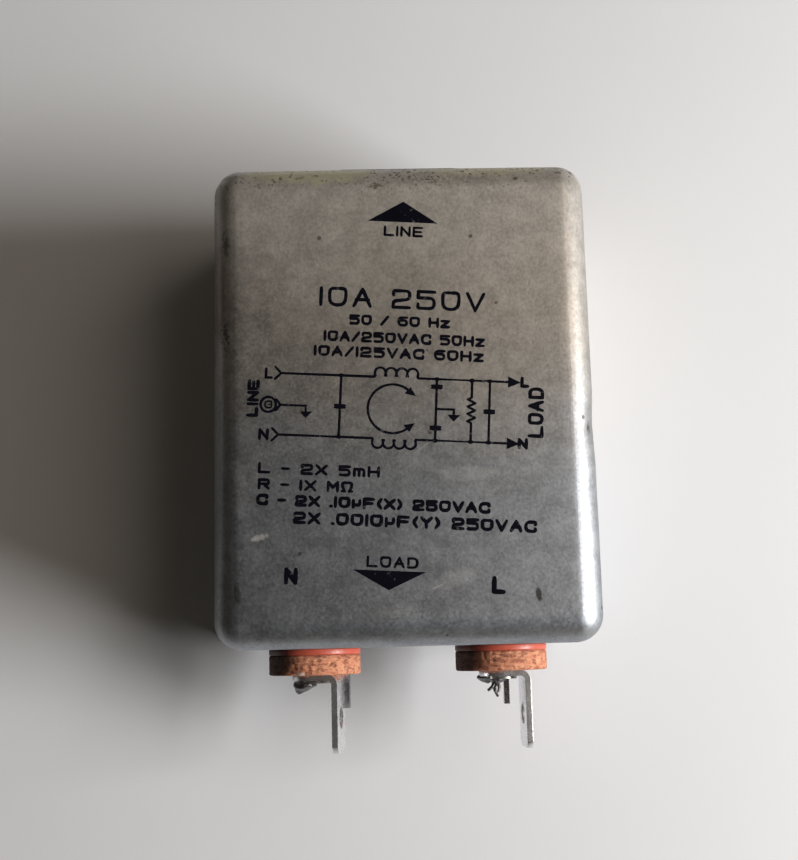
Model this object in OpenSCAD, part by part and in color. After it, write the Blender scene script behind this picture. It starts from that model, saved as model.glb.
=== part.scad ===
/* [Case] */
// Width of the drawn can, across the two load terminals
case_w = 50.8; // [50:0.1:64]
// Length of the drawn can, from the load end to the line end
case_l = 65; // [63:0.5:90]
// Height of the drawn can, from the base to the label face
case_h = 31.8; // [30:0.1:42]
// Thickness of the tinned sheet steel
case_wall = 0.8; // [0.6:0.05:1]
// Outer radius of every drawn edge and corner of the can
case_r = 3.7; // [2.8:0.1:3.8]

/* [Base cover] */
// Height of the cover's upturned lip
cover_lip_h = 3.2; // [2.4:0.1:3.6]
// Outer radius of the bend between the cover's floor and its lip
cover_bend_r = 1.2; // [1:0.1:1.6]
// Gap between the cover's lip and the can
seam_gap = 0.1; // [0.05:0.01:0.2]
// Thickness of the insulating sheet that lies on the cover
sheet_t = 0.25; // [0.1:0.05:0.5]

/* [Line inlet] */
// Width of the inlet's socket
socket_w = 24.6; // [22:0.1:30]
// Height of the inlet's socket
socket_h = 16.8; // [15:0.1:18.4]
// Depth of the inlet's socket, from its rim to its floor
socket_depth = 16.5; // [14:0.1:18]
// Bevel across the two upper corners of the socket
socket_bevel = 5; // [3:0.1:6]
// Radius of the two lower corners of the socket
socket_corner_r = 2; // [1:0.1:3]
// Thickness of the inlet's side walls
socket_wall = 1.5; // [1:0.1:1.7]
// Thickness of the floor that holds the pins
socket_floor = 2.5; // [2:0.1:3.5]
// How far the rim stands out of the can
rim_proud = 1.2; // [0.8:0.1:2]
// Thickness of the flange that seats inside the can's end wall
flange_t = 2.2; // [1.6:0.1:3]
// Gap round the inlet in the can's cut-out and in the retainer
inlet_gap = 0.15; // [0.1:0.05:0.3]

/* [Inlet pins] */
// Width of each pin, upright
pin_w = 4; // [3.5:0.1:5]
// Thickness of each pin
pin_t = 2; // [1.5:0.1:2.4]
// Distance between the live pin and the neutral pin
pin_pitch = 14; // [12:0.1:17]
// Height of the earth pin's row above the other two pins
pin_row_gap = 4; // [4:0.1:5]
// Length of the live and neutral pins in the socket
pin_l = 13; // [11:0.1:13.5]
// How much longer the earth pin is
earth_pin_more = 1.8; // [1:0.1:2]
// Length of the solder tag behind each pin
tag_l = 6.5; // [5.5:0.1:7]
// Thickness of the solder tags
tag_t = 0.8; // [0.6:0.1:1]
// Diameter of the wire hole in each tag
tag_hole_d = 1.6; // [1.4:0.1:2]

/* [Panel fixing] */
// Distance between the two panel screws
screw_pitch = 40; // [33:0.1:40]
// Diameter of the screws' clearance holes
screw_hole_d = 3.2; // [3:0.1:3.4]
// Diameter of the tapped holes in the retainer, before the thread
screw_tap_d = 2.5; // [2:0.1:2.8]
// Thickness of the retainer's steel
retainer_t = 2; // [1.5:0.1:2.5]
// Length of the retainer's folded legs
retainer_leg = 6; // [4:0.1:8]

/* [Load terminals] */
// Distance between the two load terminals
terminal_pitch = 25.9; // [22:0.1:30.5]
// Diameter of the insulating discs
disc_d = 12.7; // [10:0.1:15.3]
// Thickness of the red bush's collar
bush_t = 0.8; // [0.5:0.1:1.2]
// Diameter of the red bush's spigot, which lines the hole in the can
spigot_d = 8; // [6:0.1:9]
// Thickness of the brown fibre washer outside
fibre_t = 2.7; // [1.5:0.1:3.5]
// Thickness of the fibre washer inside
inner_washer_t = 1.6; // [1:0.1:2]
// Outer diameter of the tubular rivet
rivet_d = 3.2; // [2.8:0.1:3.6]
// Bore of the tubular rivet
rivet_bore_d = 1.7; // [1.5:0.1:2]
// Diameter of the rivet's head inside
rivet_head_d = 5.6; // [4.6:0.1:6.4]
// Thickness of the rivet's head inside
rivet_head_t = 0.8; // [0.5:0.1:1]
// Diameter of the rivet's rolled flange outside
rivet_flange_d = 4.2; // [4:0.1:4.3]
// Thickness of the rivet's rolled flange outside
rivet_flange_t = 0.4; // [0.3:0.05:0.6]

/* [Load tabs] */
// Width of the blades
tab_w = 6.35; // [5.5:0.05:6.4]
// Thickness of the blades
tab_t = 0.8; // [0.6:0.05:0.85]
// Inner radius of the bend between lug and blade
tab_bend_r = 0.6; // [0.3:0.05:0.6]
// Distance from the rivet's axis to the blade's outer face
tab_reach = 3.6; // [3.6:0.1:4.4]
// Length of the blades, from the fibre washer to the tip
tab_l = 10.5; // [9:0.1:13]
// Chamfer of the blades' tips
tip_chamfer = 0.8; // [0.4:0.1:1.5]
// Diameter of the hole in each blade
tab_hole_d = 3; // [1.5:0.1:3.4]
// Distance from the tip to the middle of the blade's hole
tab_hole_inset = 4.6; // [3.5:0.1:5.2]
// Turn of the neutral tab on its rivet, in degrees
neutral_turn = 8; // [-15:1:15]
// Turn of the live tab on its rivet, in degrees
live_turn = -2; // [-15:1:15]
// Length of the narrow tail beside each blade, from the fibre washer
tail_l = 4.8; // [3:0.1:6]
// Width of the narrow tail
tail_w = 1.2; // [0.8:0.1:1.6]
// Distance from the rivet's axis to the outer face of the neutral tail
neutral_tail_reach = 4.2; // [2:0.1:4.4]
// Distance from the rivet's axis to the outer face of the live tail
live_tail_reach = 1.5; // [1:0.1:4.2]

/* [Circuit board] */
// Thickness of the board
board_t = 1.6; // [1:0.1:2]
// Height of the board's underside above the base
board_z = 4.2; // [4:0.1:4.4]
// Gap between the board and the can's side walls
board_side_gap = 1; // [0.5:0.1:1.5]
// Diameter of the board posts' feet
post_d = 5; // [4:0.1:5.4]
// Diameter of the board posts' necks
post_neck_d = 2.8; // [2:0.1:3]

/* [Choke] */
// Outer diameter of the ring core
core_od = 28; // [22:0.1:28.4]
// Bore of the ring core
core_id = 15; // [14:0.1:16]
// Height of the ring core
core_h = 11; // [8:0.1:14]
// Diameter of the winding wire
wire_d = 1.1; // [0.8:0.05:1.15]
// Whole turns in each winding, before its last half turn
winding_turns = 10; // [6:1:10]
// Angle that each winding covers, in degrees
winding_span = 150; // [130:1:154]
// Thickness of the divider between the windings
divider_t = 1; // [0.6:0.1:1.4]

/* [Capacitors and resistor] */
// Thickness of the two large capacitors
x_cap_t = 8.5; // [6:0.1:8.6]
// Length of the two large capacitors
x_cap_l = 26.5; // [24:0.1:27]
// Height of the two large capacitors
x_cap_h = 19; // [15:0.1:20]
// Distance between the leads of a large capacitor
x_cap_pitch = 22.5; // [20:0.1:23]
// Diameter of the two disc capacitors
y_cap_d = 10; // [8:0.1:10.4]
// Thickness of the two disc capacitors
y_cap_t = 4; // [3:0.1:4.2]
// Distance between the leads of a disc capacitor
y_cap_pitch = 7.5; // [5:0.1:7.5]
// Diameter of the bleed resistor
resistor_d = 3.4; // [2.4:0.1:3.4]
// Length of the bleed resistor
resistor_l = 9; // [6:0.1:9]

/* [Wires] */
// Diameter of the insulated wires
lead_d = 2; // [1.5:0.1:2.2]
// Diameter of the wires' bare conductors
conductor_d = 1.2; // [0.8:0.1:1.4]
// Radius of the wires' bends, on the middle line
lead_bend_r = 2.4; // [2:0.1:2.6]

/* [Hidden] */
$fn = 48;

// How far each cut runs past the faces that it opens
over = 1;
// Gap where one piece passes through or stands against another
fit_gap = 0.05;
LIVE = 1;
NEUTRAL = -1;
BOTH = [NEUTRAL, LIVE];

// The can and its cover
inner_w = case_w - 2 * case_wall;
inner_l = case_l - 2 * case_wall;
inner_r = case_r - case_wall;
ceiling_z = case_h - case_wall;
load_y = -case_l / 2;
line_y = case_l / 2;
axis_z = case_h / 2;
cover_w = inner_w - 2 * seam_gap;
cover_l = inner_l - 2 * seam_gap;
cover_r = inner_r - seam_gap;
sheet_edge_gap = 0.2;
sheet_w = cover_w - 2 * (cover_bend_r + sheet_edge_gap);
sheet_l = cover_l - 2 * (cover_bend_r + sheet_edge_gap);
sheet_r = cover_r - cover_bend_r;
sheet_top_z = case_wall + sheet_t;

// The inlet: its outside, its flange and where its depths lie along the object
flange_edge_gap = 0.9;
housing_w = socket_w + 2 * socket_wall;
housing_h = socket_h + 2 * socket_wall;
housing_bevel = socket_bevel + (2 - sqrt(2)) * socket_wall;
housing_corner_r = socket_corner_r + socket_wall;
flange_h = case_h - 2 * (case_r + flange_edge_gap);
rim_y = line_y + rim_proud;
socket_floor_y = rim_y - socket_depth;
housing_rear_y = socket_floor_y - socket_floor;
flange_front_y = line_y - case_wall;
flange_rear_y = flange_front_y - flange_t;
retainer_rear_y = flange_rear_y - retainer_t;

// The pins and their tags
earth_z = axis_z + pin_row_gap / 2;
live_z = axis_z - pin_row_gap / 2;
pin_nose = 0.6;
tag_hole_inset = 2;
tag_hole_y = housing_rear_y - tag_l + tag_hole_inset;

// The board, between the load rivets and the inlet
board_load_gap = 3.2;
board_line_gap = 2.2;
board_w = inner_w - 2 * board_side_gap;
board_load_y = load_y + case_wall + board_load_gap;
board_line_y = housing_rear_y - board_line_gap;
board_top_z = board_z + board_t;
hole_gap = 0.15;
post_side_inset = 3.1;
post_load_inset = 2.2;
post_line_inset = 2.5;
post_head_d = 3.6;
post_head_h = 0.8;
post_x = board_w / 2 - post_side_inset;
post_ys = [board_load_y + post_load_inset, board_line_y - post_line_inset];

// The load terminals: how far each layer lies outside the can's end face, along the rivet
terminal_x = terminal_pitch / 2;
bore_d = rivet_d + 2 * fit_gap;
spigot_gap = 0.15;
lug_foot = bush_t + fibre_t;
lug_top = lug_foot + tab_t;
rivet_end = lug_top + rivet_flange_t;
rivet_start = -(case_wall + inner_washer_t + rivet_head_t);
bend_x = tab_reach - tab_t - tab_bend_r;
bend_z = lug_top + tab_bend_r;
blade_tip = lug_foot + tab_l;
tail_gap = 0.15;

// The solder on the tabs
lump_sides = 12;
height_shares = [0, 0.25, 0.5, 0.75, 1];
radius_shares = [0.9, 1, 0.82, 0.48, 0.16];
lean_shares = [0, 0.25, 0.55, 0.85, 1];
lump_r = 1.9;
neutral_lump_h = 1.7;
neutral_lump_lean = -2;
live_lump_h = 1.3;
live_lump_lean = -1.3;
strand_d = 0.55;
strand_l = 2.3;
strand_foot = 0.3;
strand_turns = [[-48, 12], [-22, -14], [4, 16]];

// The wires: bare lengths at the joints, and how far every lead shows under the board
bare_l = 0.6;
foot_bare_l = 1;
straight_l = 0.3;
stub_l = 1.2;
stub_z = board_z - stub_l;
pin_lead_x = pin_pitch / 2 + tag_t / 2 + bare_l + lead_bend_r + straight_l;
load_lead_start_y = load_y - rivet_start + straight_l;
load_lead_y = load_lead_start_y + lead_bend_r + straight_l * 2;
earth_lead_x = tag_t / 2 + bare_l + lead_bend_r + straight_l;
board_earth_inset = 7.5;
board_earth_y = board_line_y - board_earth_inset;
lug_t = 0.8;
lug_margin = 2;
lug_z = ceiling_z - lug_t;

// The choke: the wire's middle line goes round the core's section at an even distance
core_corner_r = 1.5;
winding_gap = 0.15;
choke_edge_gap = 1.25;
corner_steps = 4;
wire_sides = 6;
line_off = winding_gap + wire_d / 2;
core_mid_r = (core_od + core_id) / 4;
core_section_w = (core_od - core_id) / 2;
loop_r = core_corner_r + line_off;
loop_half_w = core_section_w / 2 + line_off - loop_r;
loop_half_h = core_h / 2 + line_off - loop_r;
winding_reach = core_od / 2 + line_off + wire_d / 2;
winding_board_gap = 0.3;
choke_y = board_load_y + choke_edge_gap + winding_reach;
core_z = board_top_z + winding_board_gap + wire_d + winding_gap + core_h / 2;
ring_count = (4 * winding_turns + 2) * corner_steps;
divider_gap = 0.4;
divider_rise = 0.6;

// The capacitors and the resistor
x_cap_wall_gap = 0.3;
x_cap_edge_gap = 4.5;
x_cap_r = 0.8;
x_cap_x = inner_w / 2 - x_cap_wall_gap - x_cap_t / 2;
x_cap_y = board_load_y + x_cap_edge_gap + x_cap_l / 2;
cap_lead_d = 0.8;
y_cap_tag_gap = 1.1;
y_cap_inset = 6;
y_cap_foot = 0.8;
y_cap_edge_r = 1.2;
y_cap_x = pin_pitch / 2 + tag_t / 2 + y_cap_tag_gap + y_cap_d / 2;
y_cap_y = board_line_y - y_cap_inset;
y_cap_z = board_top_z + y_cap_foot + y_cap_d / 2;
resistor_inset = 3.7;
resistor_foot = 0.1;
resistor_waist_share = 0.88;
resistor_cap_share = 0.2;
resistor_edge_r = 0.5;
resistor_lead_d = 0.6;
resistor_bend_r = 1.2;
resistor_y = board_line_y - resistor_inset;
resistor_z = board_top_z + resistor_foot + resistor_d / 2;
resistor_lead_x = resistor_l / 2 + straight_l * 2 + resistor_bend_r;

// The solder under the board
solder_h = 1;
solder_foot = 0.7;
solder_tip = 0.15;

// Where every lead passes through the board: its place and its diameter
winding_start = winding_point(0);
winding_end = winding_point(ring_count - 1);
LEADS = concat(
    [for (side = BOTH) [side * pin_lead_x, tag_hole_y, conductor_d]],
    [for (side = BOTH) [side * terminal_x, load_lead_y, conductor_d]],
    [[0, board_earth_y, conductor_d]],
    [for (side = BOTH, end = BOTH) [side * x_cap_x, x_cap_y + end * x_cap_pitch / 2, cap_lead_d]],
    [for (side = BOTH, end = BOTH) [side * y_cap_x + end * y_cap_pitch / 2, y_cap_y, cap_lead_d]],
    [for (side = BOTH) [side * resistor_lead_x, resistor_y, resistor_lead_d]],
    [for (side = BOTH, at = [winding_start, winding_end]) [side * at.x, choke_y + at.y, wire_d]]
);

// Angle round the core at step k of a winding, which walks from one end of its span to the other
function winding_angle(k) = winding_span * (k / (ring_count - 1) - 0.5);

// Point k of a winding, about the core's own middle. The wire rises outside the core, crosses its top,
// goes down the bore and comes back below, with a rounded corner at each change of direction.
function winding_point(k) =
    let (
        corner = floor(k / corner_steps) % 4,
        turn = 90 * (corner + (k % corner_steps) / (corner_steps - 1)),
        out = corner == 0 || corner == 3 ? 1 : -1,
        up = corner < 2 ? 1 : -1,
        r = core_mid_r + out * loop_half_w + loop_r * cos(turn),
        z = up * loop_half_h + loop_r * sin(turn),
        angle = winding_angle(k)
    )
    [r * cos(angle), r * sin(angle), z];

function unit(v) = v / norm(v);

// One ring of a tube: square to the way the path goes, and turned so that its first corner faces the guide
function tube_ring(at, way, guide, r, sides) =
    let (
        t = unit(way),
        n = unit(guide - (guide * t) * t),
        b = cross(t, n)
    )
    [for (j = [0:sides - 1]) at + r * (cos(360 * j / sides) * n + sin(360 * j / sides) * b)];

// A closed solid whose skin runs over the rings in turn. Every ring has as many points.
module skin_over(rings) {
    count = len(rings);
    sides = len(rings[0]);
    points = [for (ring = rings) each ring];
    walls = [
        for (i = [0:count - 2], j = [0:sides - 1])
            let (a = i * sides + j, b = i * sides + (j + 1) % sides)
            each [[a, b + sides, b], [a, a + sides, b + sides]]
    ];
    first = [for (j = [1:sides - 2]) [0, j, j + 1]];
    top = (count - 1) * sides;
    last = [for (j = [1:sides - 2]) [top, top + j + 1, top + j]];
    polyhedron(points = points, faces = concat(walls, first, last));
}

// A quarter of a disc, in the first quadrant
module quarter_disc(r) {
    intersection() {
        circle(r = r);
        square(r);
    }
}

// A rectangle on its middle with four round corners
module rounded_rect(w, h, r) {
    square([w - 2 * r, h], center = true);
    for (side = BOTH)
        translate([side * (w - r) / 2, 0])
            square([r, h - 2 * r], center = true);
    for (mx = [0, 1], my = [0, 1])
        mirror([mx, 0])
            mirror([0, my])
                translate([w / 2 - r, h / 2 - r])
                    quarter_disc(r);
}

// The wall of a drawn pan in section: x runs out from the corner's axis, y up to the closed face
module pan_section(h, wall, corner, edge) {
    translate([corner - wall, 0])
        square([wall, h - edge]);
    translate([corner - edge, h - edge])
        difference() {
            quarter_disc(edge);
            circle(r = edge - wall);
        }
    if (corner > edge)
        translate([0, h - wall])
            square([corner - edge, wall]);
}

// A drawn sheet pan, open downwards: four turned corners, four straight sides and the flat between them
module drawn_pan(w, l, h, wall, corner, edge) {
    for (k = [0:3]) {
        reach = (k % 2 == 0 ? w : l) / 2 - corner;
        run = (k % 2 == 0 ? l : w) - 2 * corner;
        rotate([0, 0, 90 * k]) {
            translate([reach, run / 2, 0])
                rotate([90, 0, 0])
                    linear_extrude(run)
                        pan_section(h, wall, corner, edge);
            translate([reach, run / 2, 0])
                rotate_extrude(angle = 90)
                    pan_section(h, wall, corner, edge);
        }
    }
    translate([corner - w / 2, corner - l / 2, h - wall])
        cube([w - 2 * corner, l - 2 * corner, wall]);
}

// A wire that starts along +x, turns down in one bend and ends at the given drop
module bent_wire(run, drop, bend_r, d) {
    rotate([0, 90, 0])
        cylinder(h = run - bend_r, d = d);
    translate([run - bend_r, 0, -bend_r])
        rotate([90, 0, 0])
            rotate_extrude(angle = 90)
                translate([bend_r, 0])
                    circle(d = d);
    translate([run, 0, -drop])
        cylinder(h = drop - bend_r, d = d);
}

// Puts its children on the line end: x across, y up and z out of the can
module on_line_end() {
    translate([0, line_y, axis_z])
        rotate([90, 0, 180])
            children();
}

// Puts its children on a load terminal: x across, y up and z out of the can, along the rivet
module on_load_end(side) {
    translate([side * terminal_x, load_y, axis_z])
        rotate([90, 0, 0])
            children();
}

// The inlet's outline, seen into the socket: two bevelled corners above and two round ones below
module inlet_outline(w, h, bevel, r) {
    polygon([
        [r - w / 2, -h / 2], [w / 2 - r, -h / 2], [w / 2 - r, r - h / 2], [w / 2, r - h / 2],
        [w / 2, h / 2 - bevel], [w / 2 - bevel, h / 2],
        [bevel - w / 2, h / 2], [-w / 2, h / 2 - bevel],
        [-w / 2, r - h / 2], [r - w / 2, r - h / 2]
    ]);
    for (mx = [0, 1])
        mirror([mx, 0])
            translate([w / 2 - r, r - h / 2])
                mirror([0, 1])
                    quarter_disc(r);
}

// The inlet's outside outline, let out by a gap
module housing_outline(gap) {
    inlet_outline(
        housing_w + 2 * gap, housing_h + 2 * gap,
        housing_bevel + (2 - sqrt(2)) * gap, housing_corner_r + gap
    );
}

// An upright plate that fills the can's inside between two places along it, and clears its round corners
module cross_plate(rear_y, front_y) {
    translate([0, 0, axis_z - flange_h / 2])
        linear_extrude(flange_h)
            intersection() {
                rounded_rect(inner_w - 2 * fit_gap, inner_l - 2 * fit_gap, inner_r - fit_gap);
                translate([-inner_w / 2, rear_y])
                    square([inner_w, front_y - rear_y]);
            }
}

// The two panel screws' places, with z out of the can
module at_screws() {
    on_line_end()
        for (side = BOTH)
            translate([side * screw_pitch / 2, 0, 0])
                children();
}

module case_can() {
    cut_l = case_wall + 2 * over;
    color("#9c9a94")
        difference() {
            drawn_pan(case_w, case_l, case_h, case_wall, case_r, case_r);
            on_line_end()
                translate([0, 0, -case_wall - over])
                    linear_extrude(cut_l)
                        housing_outline(inlet_gap);
            at_screws()
                translate([0, 0, -case_wall - over])
                    cylinder(h = cut_l, d = screw_hole_d);
            for (side = BOTH)
                on_load_end(side)
                    translate([0, 0, -case_wall - over])
                        cylinder(h = cut_l, d = spigot_d + 2 * spigot_gap);
        }
}

module base_cover() {
    color("#8f8d88")
        translate([0, 0, cover_lip_h])
            mirror([0, 0, 1])
                drawn_pan(cover_w, cover_l, cover_lip_h, case_wall, cover_r, cover_bend_r);
}

module insulating_sheet() {
    color("#d8cfae")
        translate([0, 0, case_wall])
            linear_extrude(sheet_t)
                rounded_rect(sheet_w, sheet_l, sheet_r);
}

module board_posts() {
    color("#ece9df")
        for (side = BOTH, y = post_ys)
            translate([side * post_x, y, sheet_top_z]) {
                cylinder(h = board_z - sheet_top_z, d = post_d);
                cylinder(h = board_top_z - sheet_top_z, d = post_neck_d);
                translate([0, 0, board_top_z - sheet_top_z])
                    cylinder(h = post_head_h, d = post_head_d);
            }
}

module circuit_board() {
    color("#a88d4a")
        translate([0, 0, board_z])
            linear_extrude(board_t)
                difference() {
                    translate([-board_w / 2, board_load_y])
                        square([board_w, board_line_y - board_load_y]);
                    for (lead = LEADS)
                        translate([lead.x, lead.y])
                            circle(d = lead.z + 2 * hole_gap);
                    for (side = BOTH, y = post_ys)
                        translate([side * post_x, y])
                            circle(d = post_neck_d + 2 * hole_gap);
                }
}

module solder_joints() {
    color("#b9bcc0")
        for (lead = LEADS)
            translate([lead.x, lead.y, board_z - solder_h])
                difference() {
                    cylinder(h = solder_h, r1 = lead.z / 2 + solder_tip, r2 = lead.z / 2 + solder_foot);
                    translate([0, 0, -over])
                        cylinder(h = solder_h + 2 * over, d = lead.z + 2 * fit_gap);
                }
}

module inlet_body() {
    color("#26262a")
        difference() {
            union() {
                on_line_end()
                    translate([0, 0, housing_rear_y - line_y])
                        linear_extrude(rim_y - housing_rear_y)
                            housing_outline(0);
                cross_plate(flange_rear_y, flange_front_y);
            }
            on_line_end()
                translate([0, 0, socket_floor_y - line_y])
                    linear_extrude(socket_depth + over)
                        inlet_outline(socket_w, socket_h, socket_bevel, socket_corner_r);
            at_screws()
                translate([0, 0, -case_wall - flange_t - over])
                    cylinder(h = flange_t + 2 * over, d = screw_hole_d);
            pin_slot(0, earth_z);
            for (side = BOTH)
                pin_slot(side * pin_pitch / 2, live_z);
        }
}

// The slot in the socket's floor that holds a pin
module pin_slot(x, z) {
    w = pin_t + 2 * fit_gap;
    h = pin_w + 2 * fit_gap;
    translate([x - w / 2, housing_rear_y - over, z - h / 2])
        cube([w, socket_floor + 2 * over, h]);
}

module inlet_retainer() {
    color("#7f8286")
        difference() {
            union() {
                cross_plate(flange_rear_y - retainer_t, flange_rear_y);
                for (side = BOTH)
                    translate([
                        side * (inner_w / 2 - fit_gap - retainer_t / 2) - retainer_t / 2,
                        retainer_rear_y - retainer_leg,
                        axis_z - flange_h / 2
                    ])
                        cube([retainer_t, retainer_leg, flange_h]);
            }
            on_line_end()
                translate([0, 0, retainer_rear_y - line_y - over])
                    linear_extrude(retainer_t + 2 * over)
                        housing_outline(inlet_gap);
            at_screws()
                translate([0, 0, retainer_rear_y - line_y - over])
                    cylinder(h = retainer_t + 2 * over, d = screw_tap_d);
        }
}

// One side of a pin's outline, with its tip bevelled: x across the pin, y along it
module pin_outline(w, l) {
    polygon([
        [-w / 2, 0], [w / 2, 0], [w / 2, l - pin_nose],
        [w / 2 - pin_nose, l], [pin_nose - w / 2, l], [-w / 2, l - pin_nose]
    ]);
}

// An inlet pin, from the back of the floor to its tip, with the flat solder tag behind it
module inlet_pin(x, z, l) {
    whole_l = socket_floor + l;
    translate([x, housing_rear_y, z]) {
        intersection() {
            translate([0, 0, -pin_w / 2])
                linear_extrude(pin_w)
                    pin_outline(pin_t, whole_l);
            translate([-pin_t / 2, 0, 0])
                rotate([90, 0, 90])
                    linear_extrude(pin_t)
                        rotate([0, 0, -90])
                            pin_outline(pin_w, whole_l);
        }
        difference() {
            translate([-tag_t / 2, -tag_l, -pin_w / 2])
                cube([tag_t, tag_l, pin_w]);
            translate([-tag_t / 2 - over, tag_hole_inset - tag_l, 0])
                rotate([0, 90, 0])
                    cylinder(h = tag_t + 2 * over, d = tag_hole_d);
        }
    }
}

module live_pin() {
    color("#c9c2ae")
        inlet_pin(LIVE * pin_pitch / 2, live_z, pin_l);
}

module neutral_pin() {
    color("#c9c2ae")
        inlet_pin(NEUTRAL * pin_pitch / 2, live_z, pin_l);
}

module earth_pin() {
    color("#c9c2ae")
        inlet_pin(0, earth_z, pin_l + earth_pin_more);
}

// The insulated part of a wire from an inlet tag, and the bare end that goes through the tag's hole
module tag_wire(run, drop) {
    rotate([0, -90, 0])
        cylinder(h = 2 * bare_l + tag_t, d = conductor_d);
    bent_wire(run, drop, lead_bend_r, lead_d);
}

// A wire from an inlet pin's tag down through the board
module pin_wire(side) {
    start_x = pin_pitch / 2 + tag_t / 2 + bare_l;
    mirror([side == LIVE ? 0 : 1, 0, 0]) {
        translate([start_x, tag_hole_y, live_z])
            tag_wire(pin_lead_x - start_x, live_z - board_top_z - foot_bare_l);
        translate([pin_lead_x, tag_hole_y, stub_z])
            cylinder(h = board_top_z + foot_bare_l - stub_z, d = conductor_d);
    }
}

module live_lead() {
    color("#6b3f22")
        pin_wire(LIVE);
}

module neutral_lead() {
    color("#2f5fa8")
        pin_wire(NEUTRAL);
}

module earth_lead() {
    start_x = tag_t / 2 + bare_l;
    color("#4f8f3a") {
        translate([start_x, tag_hole_y, earth_z])
            mirror([0, 0, 1])
                tag_wire(earth_lead_x - start_x, lug_z - foot_bare_l - earth_z);
        translate([earth_lead_x, tag_hole_y, lug_z - foot_bare_l])
            cylinder(h = foot_bare_l, d = conductor_d);
    }
}

module board_earth_lead() {
    insulated_z = board_top_z + foot_bare_l;
    color("#4f8f3a")
        translate([0, board_earth_y, 0]) {
            translate([0, 0, stub_z])
                cylinder(h = insulated_z - stub_z, d = conductor_d);
            translate([0, 0, insulated_z])
                cylinder(h = lug_z - foot_bare_l - insulated_z, d = lead_d);
            translate([0, 0, lug_z - foot_bare_l])
                cylinder(h = foot_bare_l, d = conductor_d);
        }
}

// The plate under the can's ceiling that both earth wires are soldered to
module earth_lug() {
    color("#b8b5ac")
        translate([-lug_margin, board_earth_y - lug_margin, lug_z])
            cube([earth_lead_x + 2 * lug_margin, tag_hole_y - board_earth_y + 2 * lug_margin, lug_t]);
}

module choke_core() {
    color("#3c5a46")
        translate([0, choke_y, core_z])
            rotate_extrude()
                translate([core_mid_r, 0])
                    rounded_rect(core_section_w, core_h, core_corner_r);
}

// One winding, on the core's live side: a straight lead up from the board, the turns, and a lead back down
module winding() {
    line = [for (k = [0:ring_count - 1]) winding_point(k)];
    foot_z = stub_z - core_z;
    path = concat(
        [[winding_start.x, winding_start.y, foot_z]], line,
        [[winding_end.x, winding_end.y, foot_z]]
    );
    last = len(path) - 1;
    rings = [
        for (i = [0:last])
            let (angle = winding_angle(min(max(i - 1, 0), ring_count - 1)))
            tube_ring(
                path[i], path[min(i + 1, last)] - path[max(i - 1, 0)],
                [-sin(angle), cos(angle), 0], wire_d / 2, wire_sides
            )
    ];
    turn_steps = 4 * corner_steps;
    gaps = [
        for (k = [0:ring_count - turn_steps - 1], near = [-corner_steps:corner_steps])
            let (other = k + turn_steps + near)
            if (other < ring_count) norm(line[k] - line[other]) - wire_d
    ];
    echo(least_gap_between_turns = min(gaps));
    skin_over(rings);
}

module live_winding() {
    color("#b5632c")
        translate([0, choke_y, core_z])
            winding();
}

module neutral_winding() {
    color("#b5632c")
        translate([0, choke_y, core_z])
            mirror([1, 0, 0])
                winding();
}

module choke_divider() {
    l = core_id - 2 * divider_gap;
    color("#dcd3b4")
        translate([-divider_t / 2, choke_y - l / 2, board_top_z])
            cube([divider_t, l, core_z + core_h / 2 + divider_rise - board_top_z]);
}

// A film capacitor in its moulded box, with two leads through the board
module x_capacitor(side) {
    translate([side * x_cap_x, x_cap_y, 0]) {
        translate([0, 0, board_top_z])
            linear_extrude(x_cap_h)
                rounded_rect(x_cap_t, x_cap_l, x_cap_r);
        for (end = BOTH)
            translate([0, end * x_cap_pitch / 2, stub_z])
                cylinder(h = board_top_z - stub_z, d = cap_lead_d);
    }
}

module line_x_capacitor() {
    color("#d7b23a")
        x_capacitor(NEUTRAL);
}

module load_x_capacitor() {
    color("#d7b23a")
        x_capacitor(LIVE);
}

// A coated ceramic disc that stands on its two leads
module y_capacitor(side) {
    translate([side * y_cap_x, y_cap_y, 0]) {
        translate([0, 0, y_cap_z])
            rotate([90, 0, 0])
                rotate_extrude() {
                    translate([0, -y_cap_t / 2])
                        square([y_cap_d / 2 - y_cap_edge_r, y_cap_t]);
                    translate([y_cap_d / 2 - y_cap_edge_r, y_cap_edge_r - y_cap_t / 2])
                        square([y_cap_edge_r, y_cap_t - 2 * y_cap_edge_r]);
                    for (my = [0, 1])
                        mirror([0, my])
                            translate([y_cap_d / 2 - y_cap_edge_r, y_cap_t / 2 - y_cap_edge_r])
                                quarter_disc(y_cap_edge_r);
                }
        for (end = BOTH)
            translate([end * y_cap_pitch / 2, 0, stub_z])
                cylinder(h = y_cap_z - stub_z, d = cap_lead_d);
    }
}

module live_y_capacitor() {
    color("#3f78b5")
        y_capacitor(LIVE);
}

module neutral_y_capacitor() {
    color("#3f78b5")
        y_capacitor(NEUTRAL);
}

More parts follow.
